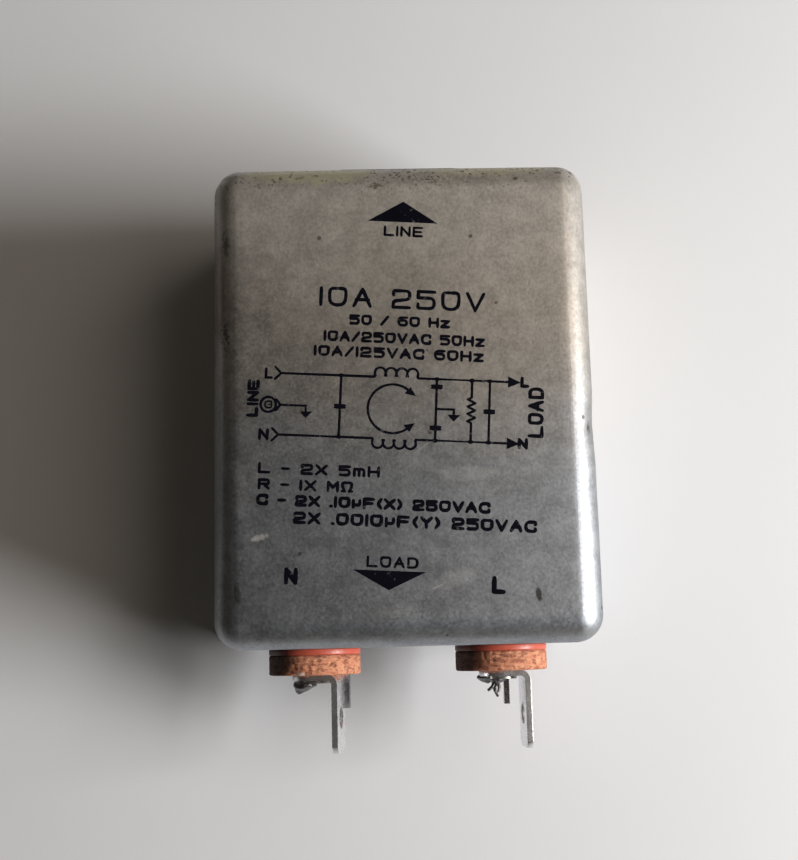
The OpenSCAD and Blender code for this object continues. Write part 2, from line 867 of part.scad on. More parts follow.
module bleed_resistor() {
    cap_l = resistor_l * resistor_cap_share;
    waist_l = resistor_l - 2 * cap_l;
    color("#8fb3c9")
        translate([0, resistor_y, resistor_z]) {
            rotate([0, 90, 0])
                rotate_extrude() {
                    translate([0, -waist_l / 2])
                        square([resistor_waist_share * resistor_d / 2, waist_l]);
                    for (my = [0, 1])
                        mirror([0, my]) {
                            translate([0, waist_l / 2])
                                square([resistor_d / 2, cap_l - resistor_edge_r]);
                            translate([0, resistor_l / 2 - resistor_edge_r])
                                square([resistor_d / 2 - resistor_edge_r, resistor_edge_r]);
                            translate([resistor_d / 2 - resistor_edge_r, resistor_l / 2 - resistor_edge_r])
                                quarter_disc(resistor_edge_r);
                        }
                }
            for (mx = [0, 1])
                mirror([mx, 0, 0])
                    translate([resistor_l / 2, 0, 0])
                        bent_wire(
                            resistor_lead_x - resistor_l / 2, resistor_z - stub_z,
                            resistor_bend_r, resistor_lead_d
                        );
        }
}

// The red bush: a collar outside the can and a spigot that lines its hole
module load_bush(side) {
    color("#c8452f")
        on_load_end(side)
            difference() {
                union() {
                    cylinder(h = bush_t, d = disc_d);
                    translate([0, 0, -case_wall])
                        cylinder(h = case_wall, d = spigot_d);
                }
                translate([0, 0, -case_wall - over])
                    cylinder(h = case_wall + bush_t + 2 * over, d = bore_d);
            }
}

// A fibre washer between two distances from the can's end face
module washer(side, from, to) {
    on_load_end(side)
        translate([0, 0, from])
            difference() {
                cylinder(h = to - from, d = disc_d);
                translate([0, 0, -over])
                    cylinder(h = to - from + 2 * over, d = bore_d);
            }
}

module fibre_washer(side) {
    color("#b8743f")
        washer(side, bush_t, lug_foot);
}

module inner_washer(side) {
    color("#b8743f")
        washer(side, -case_wall - inner_washer_t, -case_wall);
}

// The tubular rivet, with its head inside the can and its rolled flange on the tab
module rivet(side) {
    color("#a9a79d")
        on_load_end(side)
            translate([0, 0, rivet_start])
                difference() {
                    union() {
                        cylinder(h = rivet_head_t, d = rivet_head_d);
                        cylinder(h = rivet_end - rivet_start, d = rivet_d);
                        translate([0, 0, lug_top - rivet_start])
                            cylinder(h = rivet_flange_t, d = rivet_flange_d);
                    }
                    translate([0, 0, -over])
                        cylinder(h = rivet_end - rivet_start + 2 * over, d = rivet_bore_d);
                }
}

// The blade's outline, with y along the blade: it starts at the bend and has a hole near its bevelled tip
module blade_outline() {
    l = blade_tip - bend_z;
    difference() {
        polygon([
            [-tab_w / 2, 0], [tab_w / 2, 0], [tab_w / 2, l - tip_chamfer],
            [tab_w / 2 - tip_chamfer, l], [tip_chamfer - tab_w / 2, l], [-tab_w / 2, l - tip_chamfer]
        ]);
        translate([0, l - tab_hole_inset])
            circle(d = tab_hole_d);
    }
}

// A load tab: round lug on the rivet, bend, blade, and a narrow tail beside the blade's lower edge
module load_tab(side, turn, tail_reach) {
    tail_top_y = -tab_w / 2 - tail_gap;
    color("#b4b1a6")
        on_load_end(side)
            rotate([0, 0, turn]) {
                translate([0, 0, lug_foot])
                    linear_extrude(tab_t)
                        difference() {
                            union() {
                                for (my = [0, 1])
                                    mirror([0, my])
                                        mirror([1, 0])
                                            quarter_disc(tab_w / 2);
                                translate([0, -tab_w / 2])
                                    square([bend_x, tab_w]);
                            }
                            circle(d = bore_d);
                        }
                translate([bend_x, tab_w / 2, bend_z])
                    rotate([90, 0, 0])
                        rotate([0, 0, -90])
                            rotate_extrude(angle = 90)
                                translate([tab_bend_r, 0])
                                    square([tab_t, tab_w]);
                translate([tab_reach - tab_t, 0, bend_z])
                    rotate([90, 0, 90])
                        linear_extrude(tab_t)
                            blade_outline();
                translate([0, tail_top_y - tail_w, lug_foot])
                    cube([tail_reach, tail_w + tail_gap, tab_t]);
                translate([tail_reach - tab_t, tail_top_y - tail_w, lug_foot])
                    cube([tab_t, tail_w, tail_l]);
            }
}

// A wire from inside the rivet's bore, over the rivet's head and down through the board
module load_wire(side) {
    bare_z = board_top_z + foot_bare_l;
    translate([side * terminal_x, load_y - rivet_end, axis_z])
        rotate([-90, 0, 0])
            cylinder(h = load_lead_start_y - load_y + rivet_end, d = conductor_d);
    translate([side * terminal_x, load_lead_start_y, axis_z])
        rotate([0, 0, 90])
            bent_wire(load_lead_y - load_lead_start_y, axis_z - bare_z, lead_bend_r, lead_d);
    translate([side * terminal_x, load_lead_y, stub_z])
        cylinder(h = bare_z - stub_z, d = conductor_d);
}

// A lump of solder on the rivet's flange, which leans to one side as it rises
module solder_lump(h, lean) {
    skin_over([
        for (i = [0:len(height_shares) - 1])
            [for (j = [0:lump_sides - 1])
                [
                    lean_shares[i] * lean + radius_shares[i] * lump_r * cos(360 * j / lump_sides),
                    radius_shares[i] * lump_r * sin(360 * j / lump_sides),
                    height_shares[i] * h
                ]
            ]
    ]);
}

module live_load_bush() load_bush(LIVE);
module live_fibre_washer() fibre_washer(LIVE);
module live_inner_washer() inner_washer(LIVE);
module live_rivet() rivet(LIVE);
module live_load_tab() load_tab(LIVE, live_turn, live_tail_reach);

module live_load_lead() {
    color("#6b3f22")
        load_wire(LIVE);
}

// The live side's solder, with three clipped strands of the wire standing out of it
module live_tab_solder() {
    color("#55555a")
        on_load_end(LIVE)
            translate([0, 0, rivet_end]) {
                solder_lump(live_lump_h, live_lump_lean);
                for (turn = strand_turns)
                    translate([live_lump_lean / 2, 0, 0])
                        rotate([turn.y, turn.x, 0])
                            translate([0, 0, strand_foot])
                                cylinder(h = strand_l, d = strand_d);
            }
}

module neutral_load_bush() load_bush(NEUTRAL);
module neutral_fibre_washer() fibre_washer(NEUTRAL);
module neutral_inner_washer() inner_washer(NEUTRAL);
module neutral_rivet() rivet(NEUTRAL);
module neutral_load_tab() load_tab(NEUTRAL, neutral_turn, neutral_tail_reach);

module neutral_load_lead() {
    color("#2f5fa8")
        load_wire(NEUTRAL);
}

module neutral_tab_solder() {
    color("#55555a")
        on_load_end(NEUTRAL)
            translate([0, 0, rivet_end])
                solder_lump(neutral_lump_h, neutral_lump_lean);
}

case_can();
base_cover();
insulating_sheet();
board_posts();
circuit_board();
solder_joints();
inlet_body();
inlet_retainer();
live_pin();
neutral_pin();
earth_pin();
live_lead();
neutral_lead();
earth_lead();
board_earth_lead();
earth_lug();
choke_core();
live_winding();
neutral_winding();
choke_divider();
line_x_capacitor();
load_x_capacitor();
live_y_capacitor();
neutral_y_capacitor();
bleed_resistor();
live_load_bush();
live_fibre_washer();
live_inner_washer();
live_rivet();
live_load_tab();
live_load_lead();
live_tab_solder();
neutral_load_bush();
neutral_fibre_washer();
neutral_inner_washer();
neutral_rivet();
neutral_load_tab();
neutral_load_lead();
neutral_tab_solder();
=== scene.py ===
import math

import bmesh
import bpy
from mathutils import Euler, Matrix, Vector, noise


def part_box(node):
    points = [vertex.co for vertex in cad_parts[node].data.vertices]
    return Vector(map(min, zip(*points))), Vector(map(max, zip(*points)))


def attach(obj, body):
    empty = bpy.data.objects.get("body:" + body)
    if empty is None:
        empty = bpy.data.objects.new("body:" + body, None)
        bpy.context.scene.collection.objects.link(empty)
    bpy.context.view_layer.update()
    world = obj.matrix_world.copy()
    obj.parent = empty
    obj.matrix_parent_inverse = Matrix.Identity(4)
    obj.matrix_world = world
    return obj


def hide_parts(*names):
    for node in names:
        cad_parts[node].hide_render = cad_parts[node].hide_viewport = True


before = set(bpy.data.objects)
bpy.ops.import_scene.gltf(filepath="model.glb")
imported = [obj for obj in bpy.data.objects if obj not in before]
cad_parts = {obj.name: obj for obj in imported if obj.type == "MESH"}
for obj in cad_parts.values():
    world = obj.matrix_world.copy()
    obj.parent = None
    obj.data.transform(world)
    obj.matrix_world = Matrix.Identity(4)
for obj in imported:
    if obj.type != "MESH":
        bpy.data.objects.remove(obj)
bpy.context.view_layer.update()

# The view: the filter lies on its base, label up, and is looked at from just beyond its load end.
# The focal length and the place are those that bring the can's edges onto the photograph's.

mm = 0.001

camera_place = (-4.66 * mm, -32.24 * mm, 194.32 * mm)
camera_turn_degrees = (9.694, -1.108, -1.404)
picture_height = 24.0
focal_length = 35.21

camera_data = bpy.data.cameras.new("camera")
camera_data.sensor_fit = "VERTICAL"
camera_data.sensor_height = picture_height
camera_data.lens = focal_length
camera_data.clip_start = 10 * mm
camera = bpy.data.objects.new("camera", camera_data)
camera.location = camera_place
camera.rotation_euler = Euler([math.radians(a) for a in camera_turn_degrees])
bpy.context.scene.collection.objects.link(camera)
bpy.context.scene.camera = camera


# The choke: a ferrite ring in a smooth green epoxy coat, with a board between its two coils.
# Each coil is one length of enamelled copper wire, wound over its side of the ring by hand.

def add_node(tree, kind, **values):
    """Makes a node. Small first letters set its settings, and capitals fill or link its sockets."""
    made = tree.nodes.new(kind)
    for name, value in values.items():
        if name[0].islower():
            setattr(made, name, value)
            continue
        socket = made.inputs[name.replace("_", " ")]
        if isinstance(value, bpy.types.NodeSocket):
            tree.links.new(value, socket)
        else:
            socket.default_value = value
    return made


def calculate(tree, operation, *values, clamp=False):
    """One sum on numbers or sockets."""
    made = tree.nodes.new("ShaderNodeMath")
    made.operation = operation
    made.use_clamp = clamp
    for socket, value in zip(made.inputs, values):
        if isinstance(value, bpy.types.NodeSocket):
            tree.links.new(value, socket)
        else:
            socket.default_value = value
    return made.outputs[0]


def between(tree, value, low, high, to_low=0.0, to_high=1.0):
    """Carries value from the range low to high over to another range, and holds it there."""
    made = add_node(
        tree, "ShaderNodeMapRange", interpolation_type="SMOOTHSTEP",
        Value=value, From_Min=low, From_Max=high, To_Min=to_low, To_Max=to_high,
    )
    return made.outputs["Result"]


def blend_colours(tree, share, first, second, way="MIX"):
    """The first colour, with a share of the second mixed in."""
    made = tree.nodes.new("ShaderNodeMix")
    made.data_type = "RGBA"
    made.blend_type = way
    colour_sockets = [s for s in made.inputs if s.enabled]
    for socket, value in zip(colour_sockets, (share, first, second)):
        if isinstance(value, bpy.types.NodeSocket):
            tree.links.new(value, socket)
        elif isinstance(value, float):
            socket.default_value = value
        else:
            socket.default_value = (*value, 1.0)
    return next(s for s in made.outputs if s.enabled)


def open_group(name, inputs, outputs):
    """A new node group with its sockets, and its two end nodes."""
    group = bpy.data.node_groups.new(name, "ShaderNodeTree")
    for socket, kind, value in inputs:
        made = group.interface.new_socket(socket, in_out="INPUT", socket_type=kind)
        if value is not None:
            made.default_value = value
    for socket, kind in outputs:
        group.interface.new_socket(socket, in_out="OUTPUT", socket_type=kind)
    return group, group.nodes.new("NodeGroupInput"), group.nodes.new("NodeGroupOutput")


def use_group(tree, group, **values):
    """Places a group in a material. Its first output is what it gives."""
    return add_node(tree, "ShaderNodeGroup", node_tree=group, **values).outputs[0]


def build_mottling():
    """Cloudy patches from 0 to 1. Contrast draws them apart."""
    group, given, result = open_group(
        "mottling",
        [("Vector", "NodeSocketVector", None), ("Scale", "NodeSocketFloat", 100.0),
         ("Contrast", "NodeSocketFloat", 1.0)],
        [("Patches", "NodeSocketFloat")],
    )
    cloud = add_node(
        group, "ShaderNodeTexNoise", Vector=given.outputs["Vector"], Scale=given.outputs["Scale"],
        Detail=5.0, Roughness=0.62,
    )
    spread = calculate(group, "SUBTRACT", cloud.outputs["Fac"], 0.5)
    spread = calculate(group, "MULTIPLY", spread, given.outputs["Contrast"])
    spread = calculate(group, "ADD", spread, 0.5, clamp=True)
    group.links.new(spread, result.inputs["Patches"])
    return group


def build_pitting():
    """Small round spots. Share is how many cells hold one, and Radius is its size in a cell."""
    group, given, result = open_group(
        "pitting",
        [("Vector", "NodeSocketVector", None), ("Scale", "NodeSocketFloat", 800.0),
         ("Share", "NodeSocketFloat", 0.3), ("Radius", "NodeSocketFloat", 0.3)],
        [("Pits", "NodeSocketFloat")],
    )
    cells = add_node(
        group, "ShaderNodeTexVoronoi", Vector=given.outputs["Vector"], Scale=given.outputs["Scale"],
    )
    chance = add_node(group, "ShaderNodeSeparateColor", Color=cells.outputs["Color"])
    held = calculate(group, "LESS_THAN", chance.outputs[0], given.outputs["Share"])
    reach = calculate(group, "MULTIPLY", given.outputs["Radius"], chance.outputs[1])
    depth = calculate(group, "SUBTRACT", reach, cells.outputs["Distance"])
    spot = between(group, depth, 0.0, 0.08)
    group.links.new(calculate(group, "MULTIPLY", spot, held), result.inputs["Pits"])
    return group


mottling = build_mottling()
pitting = build_pitting()


def open_material(name):
    """A new material with its shader, and the piece's own coordinates."""
    material = bpy.data.materials.new(name)
    material.use_nodes = True
    tree = material.node_tree
    shader = tree.nodes["Principled BSDF"]
    place = tree.nodes.new("ShaderNodeTexCoord")
    return material, tree, shader, place


def give_bump(tree, shader, height, strength, distance):
    """Lets a height raise the surface by up to distance."""
    bump = add_node(
        tree, "ShaderNodeBump", Strength=strength, Distance=distance, Height=height,
    )
    tree.links.new(bump.outputs["Normal"], shader.inputs["Normal"])


def coated(name, colour, shade_share=0.12, patch_scale=250.0, rough=0.4, rough_spread=0.12,
           grain_scale=2500.0, grain_height=0.01 * mm, metallic=0.0, coat=0.0):
    """A smooth piece whose colour and gloss drift a little over it, with a fine grain."""
    material, tree, shader, place = open_material(name)
    here = place.outputs["Object"]
    patches = use_group(tree, mottling, Vector=here, Scale=patch_scale, Contrast=1.8)
    grain = use_group(tree, mottling, Vector=here, Scale=grain_scale, Contrast=2.0)
    darker = tuple(c * (1.0 - 2.0 * shade_share) for c in colour)
    lighter = tuple(min(1.0, c * (1.0 + shade_share)) for c in colour)
    tree.links.new(blend_colours(tree, patches, darker, lighter), shader.inputs["Base Color"])
    both = calculate(tree, "MULTIPLY", patches, grain)
    roughness = between(tree, both, 0.0, 0.6, rough - rough_spread / 2, rough + rough_spread)
    tree.links.new(roughness, shader.inputs["Roughness"])
    shader.inputs["Metallic"].default_value = metallic
    shader.inputs["Coat Weight"].default_value = coat
    give_bump(tree, shader, grain, 0.5, grain_height)
    return material


def dress(material, *nodes):
    """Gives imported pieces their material."""
    for node in nodes:
        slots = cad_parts[node].data.materials
        slots.clear()
        slots.append(material)


def put_in_scene(name, mesh, material, slot_name, *replaced, flat_sides=False):
    """Makes a finished mesh a piece of the filter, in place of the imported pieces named."""
    piece = bpy.data.objects.new(name, mesh)
    bpy.context.scene.collection.objects.link(piece)
    mesh.materials.clear()
    mesh.materials.append(material)
    if flat_sides:
        even = piece.modifiers.new("flat_sides", "WEIGHTED_NORMAL")
        even.keep_sharp = True
    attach(piece, "root")
    if replaced:
        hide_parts(*replaced)
    return piece


wire_diameter = 1.1 * mm
winding_turns = 10
winding_span = 150.0
core_mid_radius = 10.75 * mm
core_section = 6.5 * mm
core_height = 11 * mm
core_corner = 1.5 * mm
coat_thickness = 0.15 * mm
wire_stands_off = coat_thickness + wire_diameter / 2
corner_steps = 8


def winding_point(step, count):
    """A point of the coil's path: up outside the ring, over it, down its bore and back below."""
    corner = step // corner_steps % 4
    turn = math.radians(90 * (corner + step % corner_steps / (corner_steps - 1)))
    outward = 1 if corner in (0, 3) else -1
    upward = 1 if corner < 2 else -1
    bend = core_corner + wire_stands_off
    straight_out = core_section / 2 + wire_stands_off - bend
    straight_up = core_height / 2 + wire_stands_off - bend
    radius = core_mid_radius + outward * straight_out + bend * math.cos(turn)
    height = upward * straight_up + bend * math.sin(turn)
    angle = math.radians(winding_span * (step / (count - 1) - 0.5))
    return Vector((radius * math.cos(angle), radius * math.sin(angle), height))


def draw_wires(name, paths, radius):
    """Round wires as one mesh. Each point has its place and its share of the radius."""
    curve = bpy.data.curves.new(name, "CURVE")
    curve.dimensions = "3D"
    curve.bevel_depth = radius
    curve.bevel_resolution = 4
    curve.use_fill_caps = True
    for path in paths:
        spline = curve.splines.new("POLY")
        spline.points.add(len(path) - 1)
        for point, (at, share) in zip(spline.points, path):
            point.co = (*at, 1)
            point.radius = share
    maker = bpy.data.objects.new(name, curve)
    mesh = bpy.data.meshes.new_from_object(maker)
    bpy.data.objects.remove(maker)
    mesh.shade_smooth()
    return mesh


def wind_coil(name, side, middle):
    """One coil on the ring. The second is the first turned half way round."""
    count = (4 * winding_turns + 2) * corner_steps
    half_turn = Matrix.Diagonal((side, side, 1))
    path = [(middle + half_turn @ winding_point(step, count), 1.0) for step in range(count)]
    return draw_wires(name, [path], wire_diameter / 2)


core_low, core_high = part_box("choke_core")
core_middle = (core_low + core_high) / 2
copper_enamel = coated(
    "copper_enamel", (0.5, 0.16, 0.055), rough=0.26, metallic=1.0, coat=0.6, patch_scale=400.0,
)
for coil, coil_side in (("live_winding", 1), ("neutral_winding", -1)):
    put_in_scene(
        coil + "_wire", wind_coil(coil, coil_side, core_middle), copper_enamel,
        "enamelled_copper", coil,
    )
dress(
    coated("green_epoxy_coat", (0.045, 0.12, 0.075), rough=0.35, grain_height=0.03 * mm),
    "choke_core",
)
dress(coated("pressed_board", (0.74, 0.68, 0.5), rough=0.75, grain_scale=1200.0), "choke_divider")


# The capacitors and the resistor: two film capacitors in amber moulded cases, two dipped blue discs
# and a lacquered resistor, each standing on the board on its tinned wires.

dress(
    coated("amber_case", (0.66, 0.45, 0.07), rough=0.32, shade_share=0.06),
    "line_x_capacitor", "load_x_capacitor",
)
dress(
    coated("blue_dip", (0.05, 0.17, 0.42), rough=0.22, patch_scale=180.0, coat=0.3),
    "live_y_capacitor", "neutral_y_capacitor",
)
dress(coated("resistor_lacquer", (0.28, 0.44, 0.56), rough=0.3), "bleed_resistor")


# The board: brown paper laminate on four nylon posts, with the wires soldered under it.
# The joints are small bright cones where each wire comes through.

dress(coated("brown_laminate", (0.43, 0.26, 0.11), rough=0.5, grain_scale=900.0), "circuit_board")
dress(coated("natural_nylon", (0.83, 0.81, 0.73), rough=0.45, shade_share=0.04), "board_posts")
bright_solder = coated(
    "bright_solder", (0.62, 0.62, 0.63), rough=0.25, metallic=1.0, grain_height=0.02 * mm,
)
dress(bright_solder, "solder_joints")


# The line inlet: a black moulding with a rim that stands out of the can, three plated pins in its
# floor, and a zinc-plated steel retainer behind its flange that the panel screws go into.

def merged_copy(node):
    """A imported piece's triangles joined into whole faces, to be worked on."""
    shape = bmesh.new()
    shape.from_mesh(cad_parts[node].data)
    bmesh.ops.remove_doubles(shape, verts=shape.verts, dist=0.001 * mm)
    bmesh.ops.dissolve_limit(
        shape, angle_limit=math.radians(0.5), verts=shape.verts, edges=shape.edges, delimit=set(),
    )
    return shape


def finish_mesh(name, shape, sharp_degrees=32.0):
    """Turns a worked shape into a mesh that is smooth but for its sharp edges."""
    mesh = bpy.data.meshes.new(name)
    shape.to_mesh(mesh)
    shape.free()
    if "custom_normal" in mesh.attributes:
        mesh.attributes.remove(mesh.attributes["custom_normal"])
    mesh.shade_smooth()
    mesh.set_sharp_from_angle(angle=math.radians(sharp_degrees))
    return mesh


def ease_edges(shape, width, steps=2, over_degrees=40.0):
    """Rounds every edge that turns by more than an angle."""
    limit = math.radians(over_degrees)
    hard = [e for e in shape.edges if len(e.link_faces) == 2 and e.calc_face_angle(0) > limit]
    bmesh.ops.bevel(
        shape, geom=hard, offset=width, offset_type="OFFSET", segments=steps, profile=0.5,
        affect="EDGES", material=-1, clamp_overlap=True,
    )


black_moulding = coated(
    "black_moulding", (0.02, 0.02, 0.022), rough=0.42, rough_spread=0.2, grain_scale=1800.0,
    grain_height=0.02 * mm, shade_share=0.25,
)
moulding_easing = 0.25 * mm
moulding_shape = merged_copy("inlet_body")
ease_edges(moulding_shape, moulding_easing, steps=3)
put_in_scene(
    "inlet_moulding", finish_mesh("inlet_moulding", moulding_shape), black_moulding,
    "black_moulding", "inlet_body", flat_sides=True,
)
dress(
    coated("nickel_plate", (0.62, 0.59, 0.52), rough=0.22, metallic=1.0, shade_share=0.08),
    "live_pin", "neutral_pin", "earth_pin",
)
dress(
    coated("zinc_plate", (0.5, 0.52, 0.55), rough=0.34, metallic=1.0, patch_scale=500.0),
    "inlet_retainer",
)


# The wires and the earth lug: plastic-covered wire, brown for live, blue for neutral, green for
# earth. The lug is a strip of tinned steel under the can's top.

dress(coated("brown_covering", (0.2, 0.08, 0.035), rough=0.35), "live_lead", "live_load_lead")
dress(coated("blue_covering", (0.04, 0.13, 0.42), rough=0.35), "neutral_lead", "neutral_load_lead")
dress(coated("green_covering", (0.07, 0.32, 0.06), rough=0.35), "earth_lead", "board_earth_lead")
dress(coated("tinned_strip", (0.55, 0.54, 0.5), rough=0.35, metallic=1.0), "earth_lug")


# The can: drawn from thin steel and tinned, so its edges and corners are round all over. Its plate
# is matte and mottled, handled and lightly stained, with a few shallow dents from its years in use.

def build_mark():
    """A soft mark on the surface, round or drawn out, that a grain breaks up."""
    group, given, result = open_group(
        "mark",
        [("Vector", "NodeSocketVector", None), ("Middle", "NodeSocketVector", None),
         ("Turn", "NodeSocketVector", None), ("Reach", "NodeSocketVector", None),
         ("Grain", "NodeSocketFloat", 1500.0), ("Breaks", "NodeSocketFloat", 0.5)],
        [("Mark", "NodeSocketFloat")],
    )
    own = add_node(
        group, "ShaderNodeMapping", vector_type="TEXTURE", Vector=given.outputs["Vector"],
        Location=given.outputs["Middle"], Rotation=given.outputs["Turn"],
        Scale=given.outputs["Reach"],
    )
    away = add_node(group, "ShaderNodeVectorMath", operation="LENGTH", Vector=own.outputs[0])
    inside = between(group, away.outputs["Value"], 1.0, 0.0)
    grain = add_node(
        group, "ShaderNodeTexNoise", Vector=given.outputs["Vector"], Scale=given.outputs["Grain"],
        Detail=4.0, Roughness=0.7,
    )
    eaten = calculate(group, "MULTIPLY", grain.outputs["Fac"], given.outputs["Breaks"])
    left = calculate(group, "SUBTRACT", inside, eaten)
    group.links.new(between(group, left, 0.0, 0.35), result.inputs["Mark"])
    return group


def build_rounding():
    """Where a surface leans between two of its flat faces: the rounded edges and corners."""
    group, given, result = open_group(
        "rounding", [("Normal", "NodeSocketVector", None)], [("Lean", "NodeSocketFloat")],
    )
    size = add_node(
        group, "ShaderNodeVectorMath", operation="ABSOLUTE", Vector=given.outputs["Normal"],
    )
    parts = add_node(group, "ShaderNodeSeparateXYZ", Vector=size.outputs[0])
    most = calculate(group, "MAXIMUM", parts.outputs[0], parts.outputs[1])
    most = calculate(group, "MAXIMUM", most, parts.outputs[2])
    group.links.new(between(group, most, 1.0, 0.72), result.inputs["Lean"])
    return group


mark = build_mark()
rounding = build_rounding()
bright_rub = (0.6, 0.6, 0.58)
pit_brown = (0.09, 0.075, 0.06)
brown_stain = (0.12, 0.085, 0.055)
plate_relief = 0.012 * mm
cloud_drift = 16 * mm
warm_band = (-6 * mm, 20 * mm)
film_drift = 14 * mm
film_band = (4 * mm, 42 * mm)
speck_band = (26.5 * mm, 31.5 * mm)
speck_rise = (27 * mm, 30 * mm)


def tinned_plate(name, warm, cool, marks=(), dull_metal=0.55):
    """Tin plate: mottled, dull and warm by the line end, with marks, specks and rubbed edges."""
    material, tree, shader, place = open_material(name)
    here = place.outputs["Object"]
    _, along, up = add_node(tree, "ShaderNodeSeparateXYZ", Vector=here).outputs
    clouds = use_group(tree, mottling, Vector=here, Scale=70.0, Contrast=1.6)
    patches = use_group(tree, mottling, Vector=here, Scale=430.0, Contrast=1.6)
    grain = use_group(tree, mottling, Vector=here, Scale=2400.0, Contrast=2.4)
    drawn = add_node(tree, "ShaderNodeMapping", Vector=here, Scale=(1.0, 0.8, 1.0)).outputs[0]
    streaks = use_group(tree, mottling, Vector=drawn, Scale=2600.0, Contrast=2.2)
    warmth = calculate(tree, "MULTIPLY", clouds, cloud_drift)
    warmth = calculate(tree, "ADD", along, warmth)
    warmth = between(tree, warmth, *warm_band)
    colour = blend_colours(tree, warmth, cool, warm)
    shade = calculate(tree, "MULTIPLY", patches, 0.5)
    shade = calculate(tree, "ADD", shade, calculate(tree, "MULTIPLY", streaks, 0.5))
    shade = between(tree, shade, 0.1, 0.9, 0.74, 1.24)
    grey = add_node(tree, "ShaderNodeCombineColor", Red=shade, Green=shade, Blue=shade).outputs[0]
    colour = blend_colours(tree, 1.0, colour, grey, "MULTIPLY")
    lean = use_group(tree, rounding, Normal=place.outputs["Normal"])
    rubbed = calculate(tree, "MULTIPLY", lean, patches)
    colour = blend_colours(tree, calculate(tree, "MULTIPLY", rubbed, 0.35), colour, bright_rub)
    pits = use_group(tree, pitting, Vector=here, Scale=640.0, Share=0.07, Radius=0.24)
    colour = blend_colours(tree, calculate(tree, "MULTIPLY", pits, 0.8), colour, pit_brown)
    dulled = calculate(tree, "MULTIPLY", pits, 0.3)
    for middle, turn, reach, grain_size, breaks, tint, strength in marks:
        shape = use_group(
            tree, mark, Vector=here, Middle=[v * mm for v in middle],
            Turn=(0.0, 0.0, math.radians(turn)), Reach=[v * mm for v in reach], Grain=grain_size,
            Breaks=breaks,
        )
        colour = blend_colours(tree, calculate(tree, "MULTIPLY", shape, strength), colour, tint)
    specks = use_group(tree, pitting, Vector=here, Scale=2300.0, Share=0.62, Radius=0.68)
    at_line_end = between(tree, along, *speck_band)
    at_line_end = calculate(tree, "MULTIPLY", at_line_end, between(tree, up, *speck_rise))
    clustered = calculate(tree, "MULTIPLY", between(tree, patches, 0.33, 0.6), at_line_end)
    specks = calculate(tree, "MULTIPLY", specks, clustered)
    colour = blend_colours(tree, calculate(tree, "MULTIPLY", specks, 0.85), colour, brown_stain)
    tree.links.new(colour, shader.inputs["Base Color"])
    mix = calculate(tree, "MULTIPLY", patches, 0.4)
    mix = calculate(tree, "ADD", mix, calculate(tree, "MULTIPLY", grain, 0.6))
    mix = calculate(tree, "ADD", mix, dulled)
    tree.links.new(between(tree, mix, 0.1, 0.9, 0.41, 0.51), shader.inputs["Roughness"])
    film = calculate(tree, "ADD", along, calculate(tree, "MULTIPLY", clouds, film_drift))
    film = between(tree, film, *film_band)
    tree.links.new(between(tree, film, 0.0, 1.0, 1.0, dull_metal), shader.inputs["Metallic"])
    height = calculate(tree, "SUBTRACT", grain, calculate(tree, "MULTIPLY", pits, 0.8))
    give_bump(tree, shader, height, 0.5, plate_relief)
    return material


# The first tint darkens the plate's scuffs, and also paints shade down the can's left edge.
scuff_and_shade_dark = (0.07, 0.068, 0.065)
white_scrape = (0.85, 0.86, 0.86)
olive_edge_tint = (0.64, 0.6, 0.4)
red_film = (0.17, 0.1, 0.08)

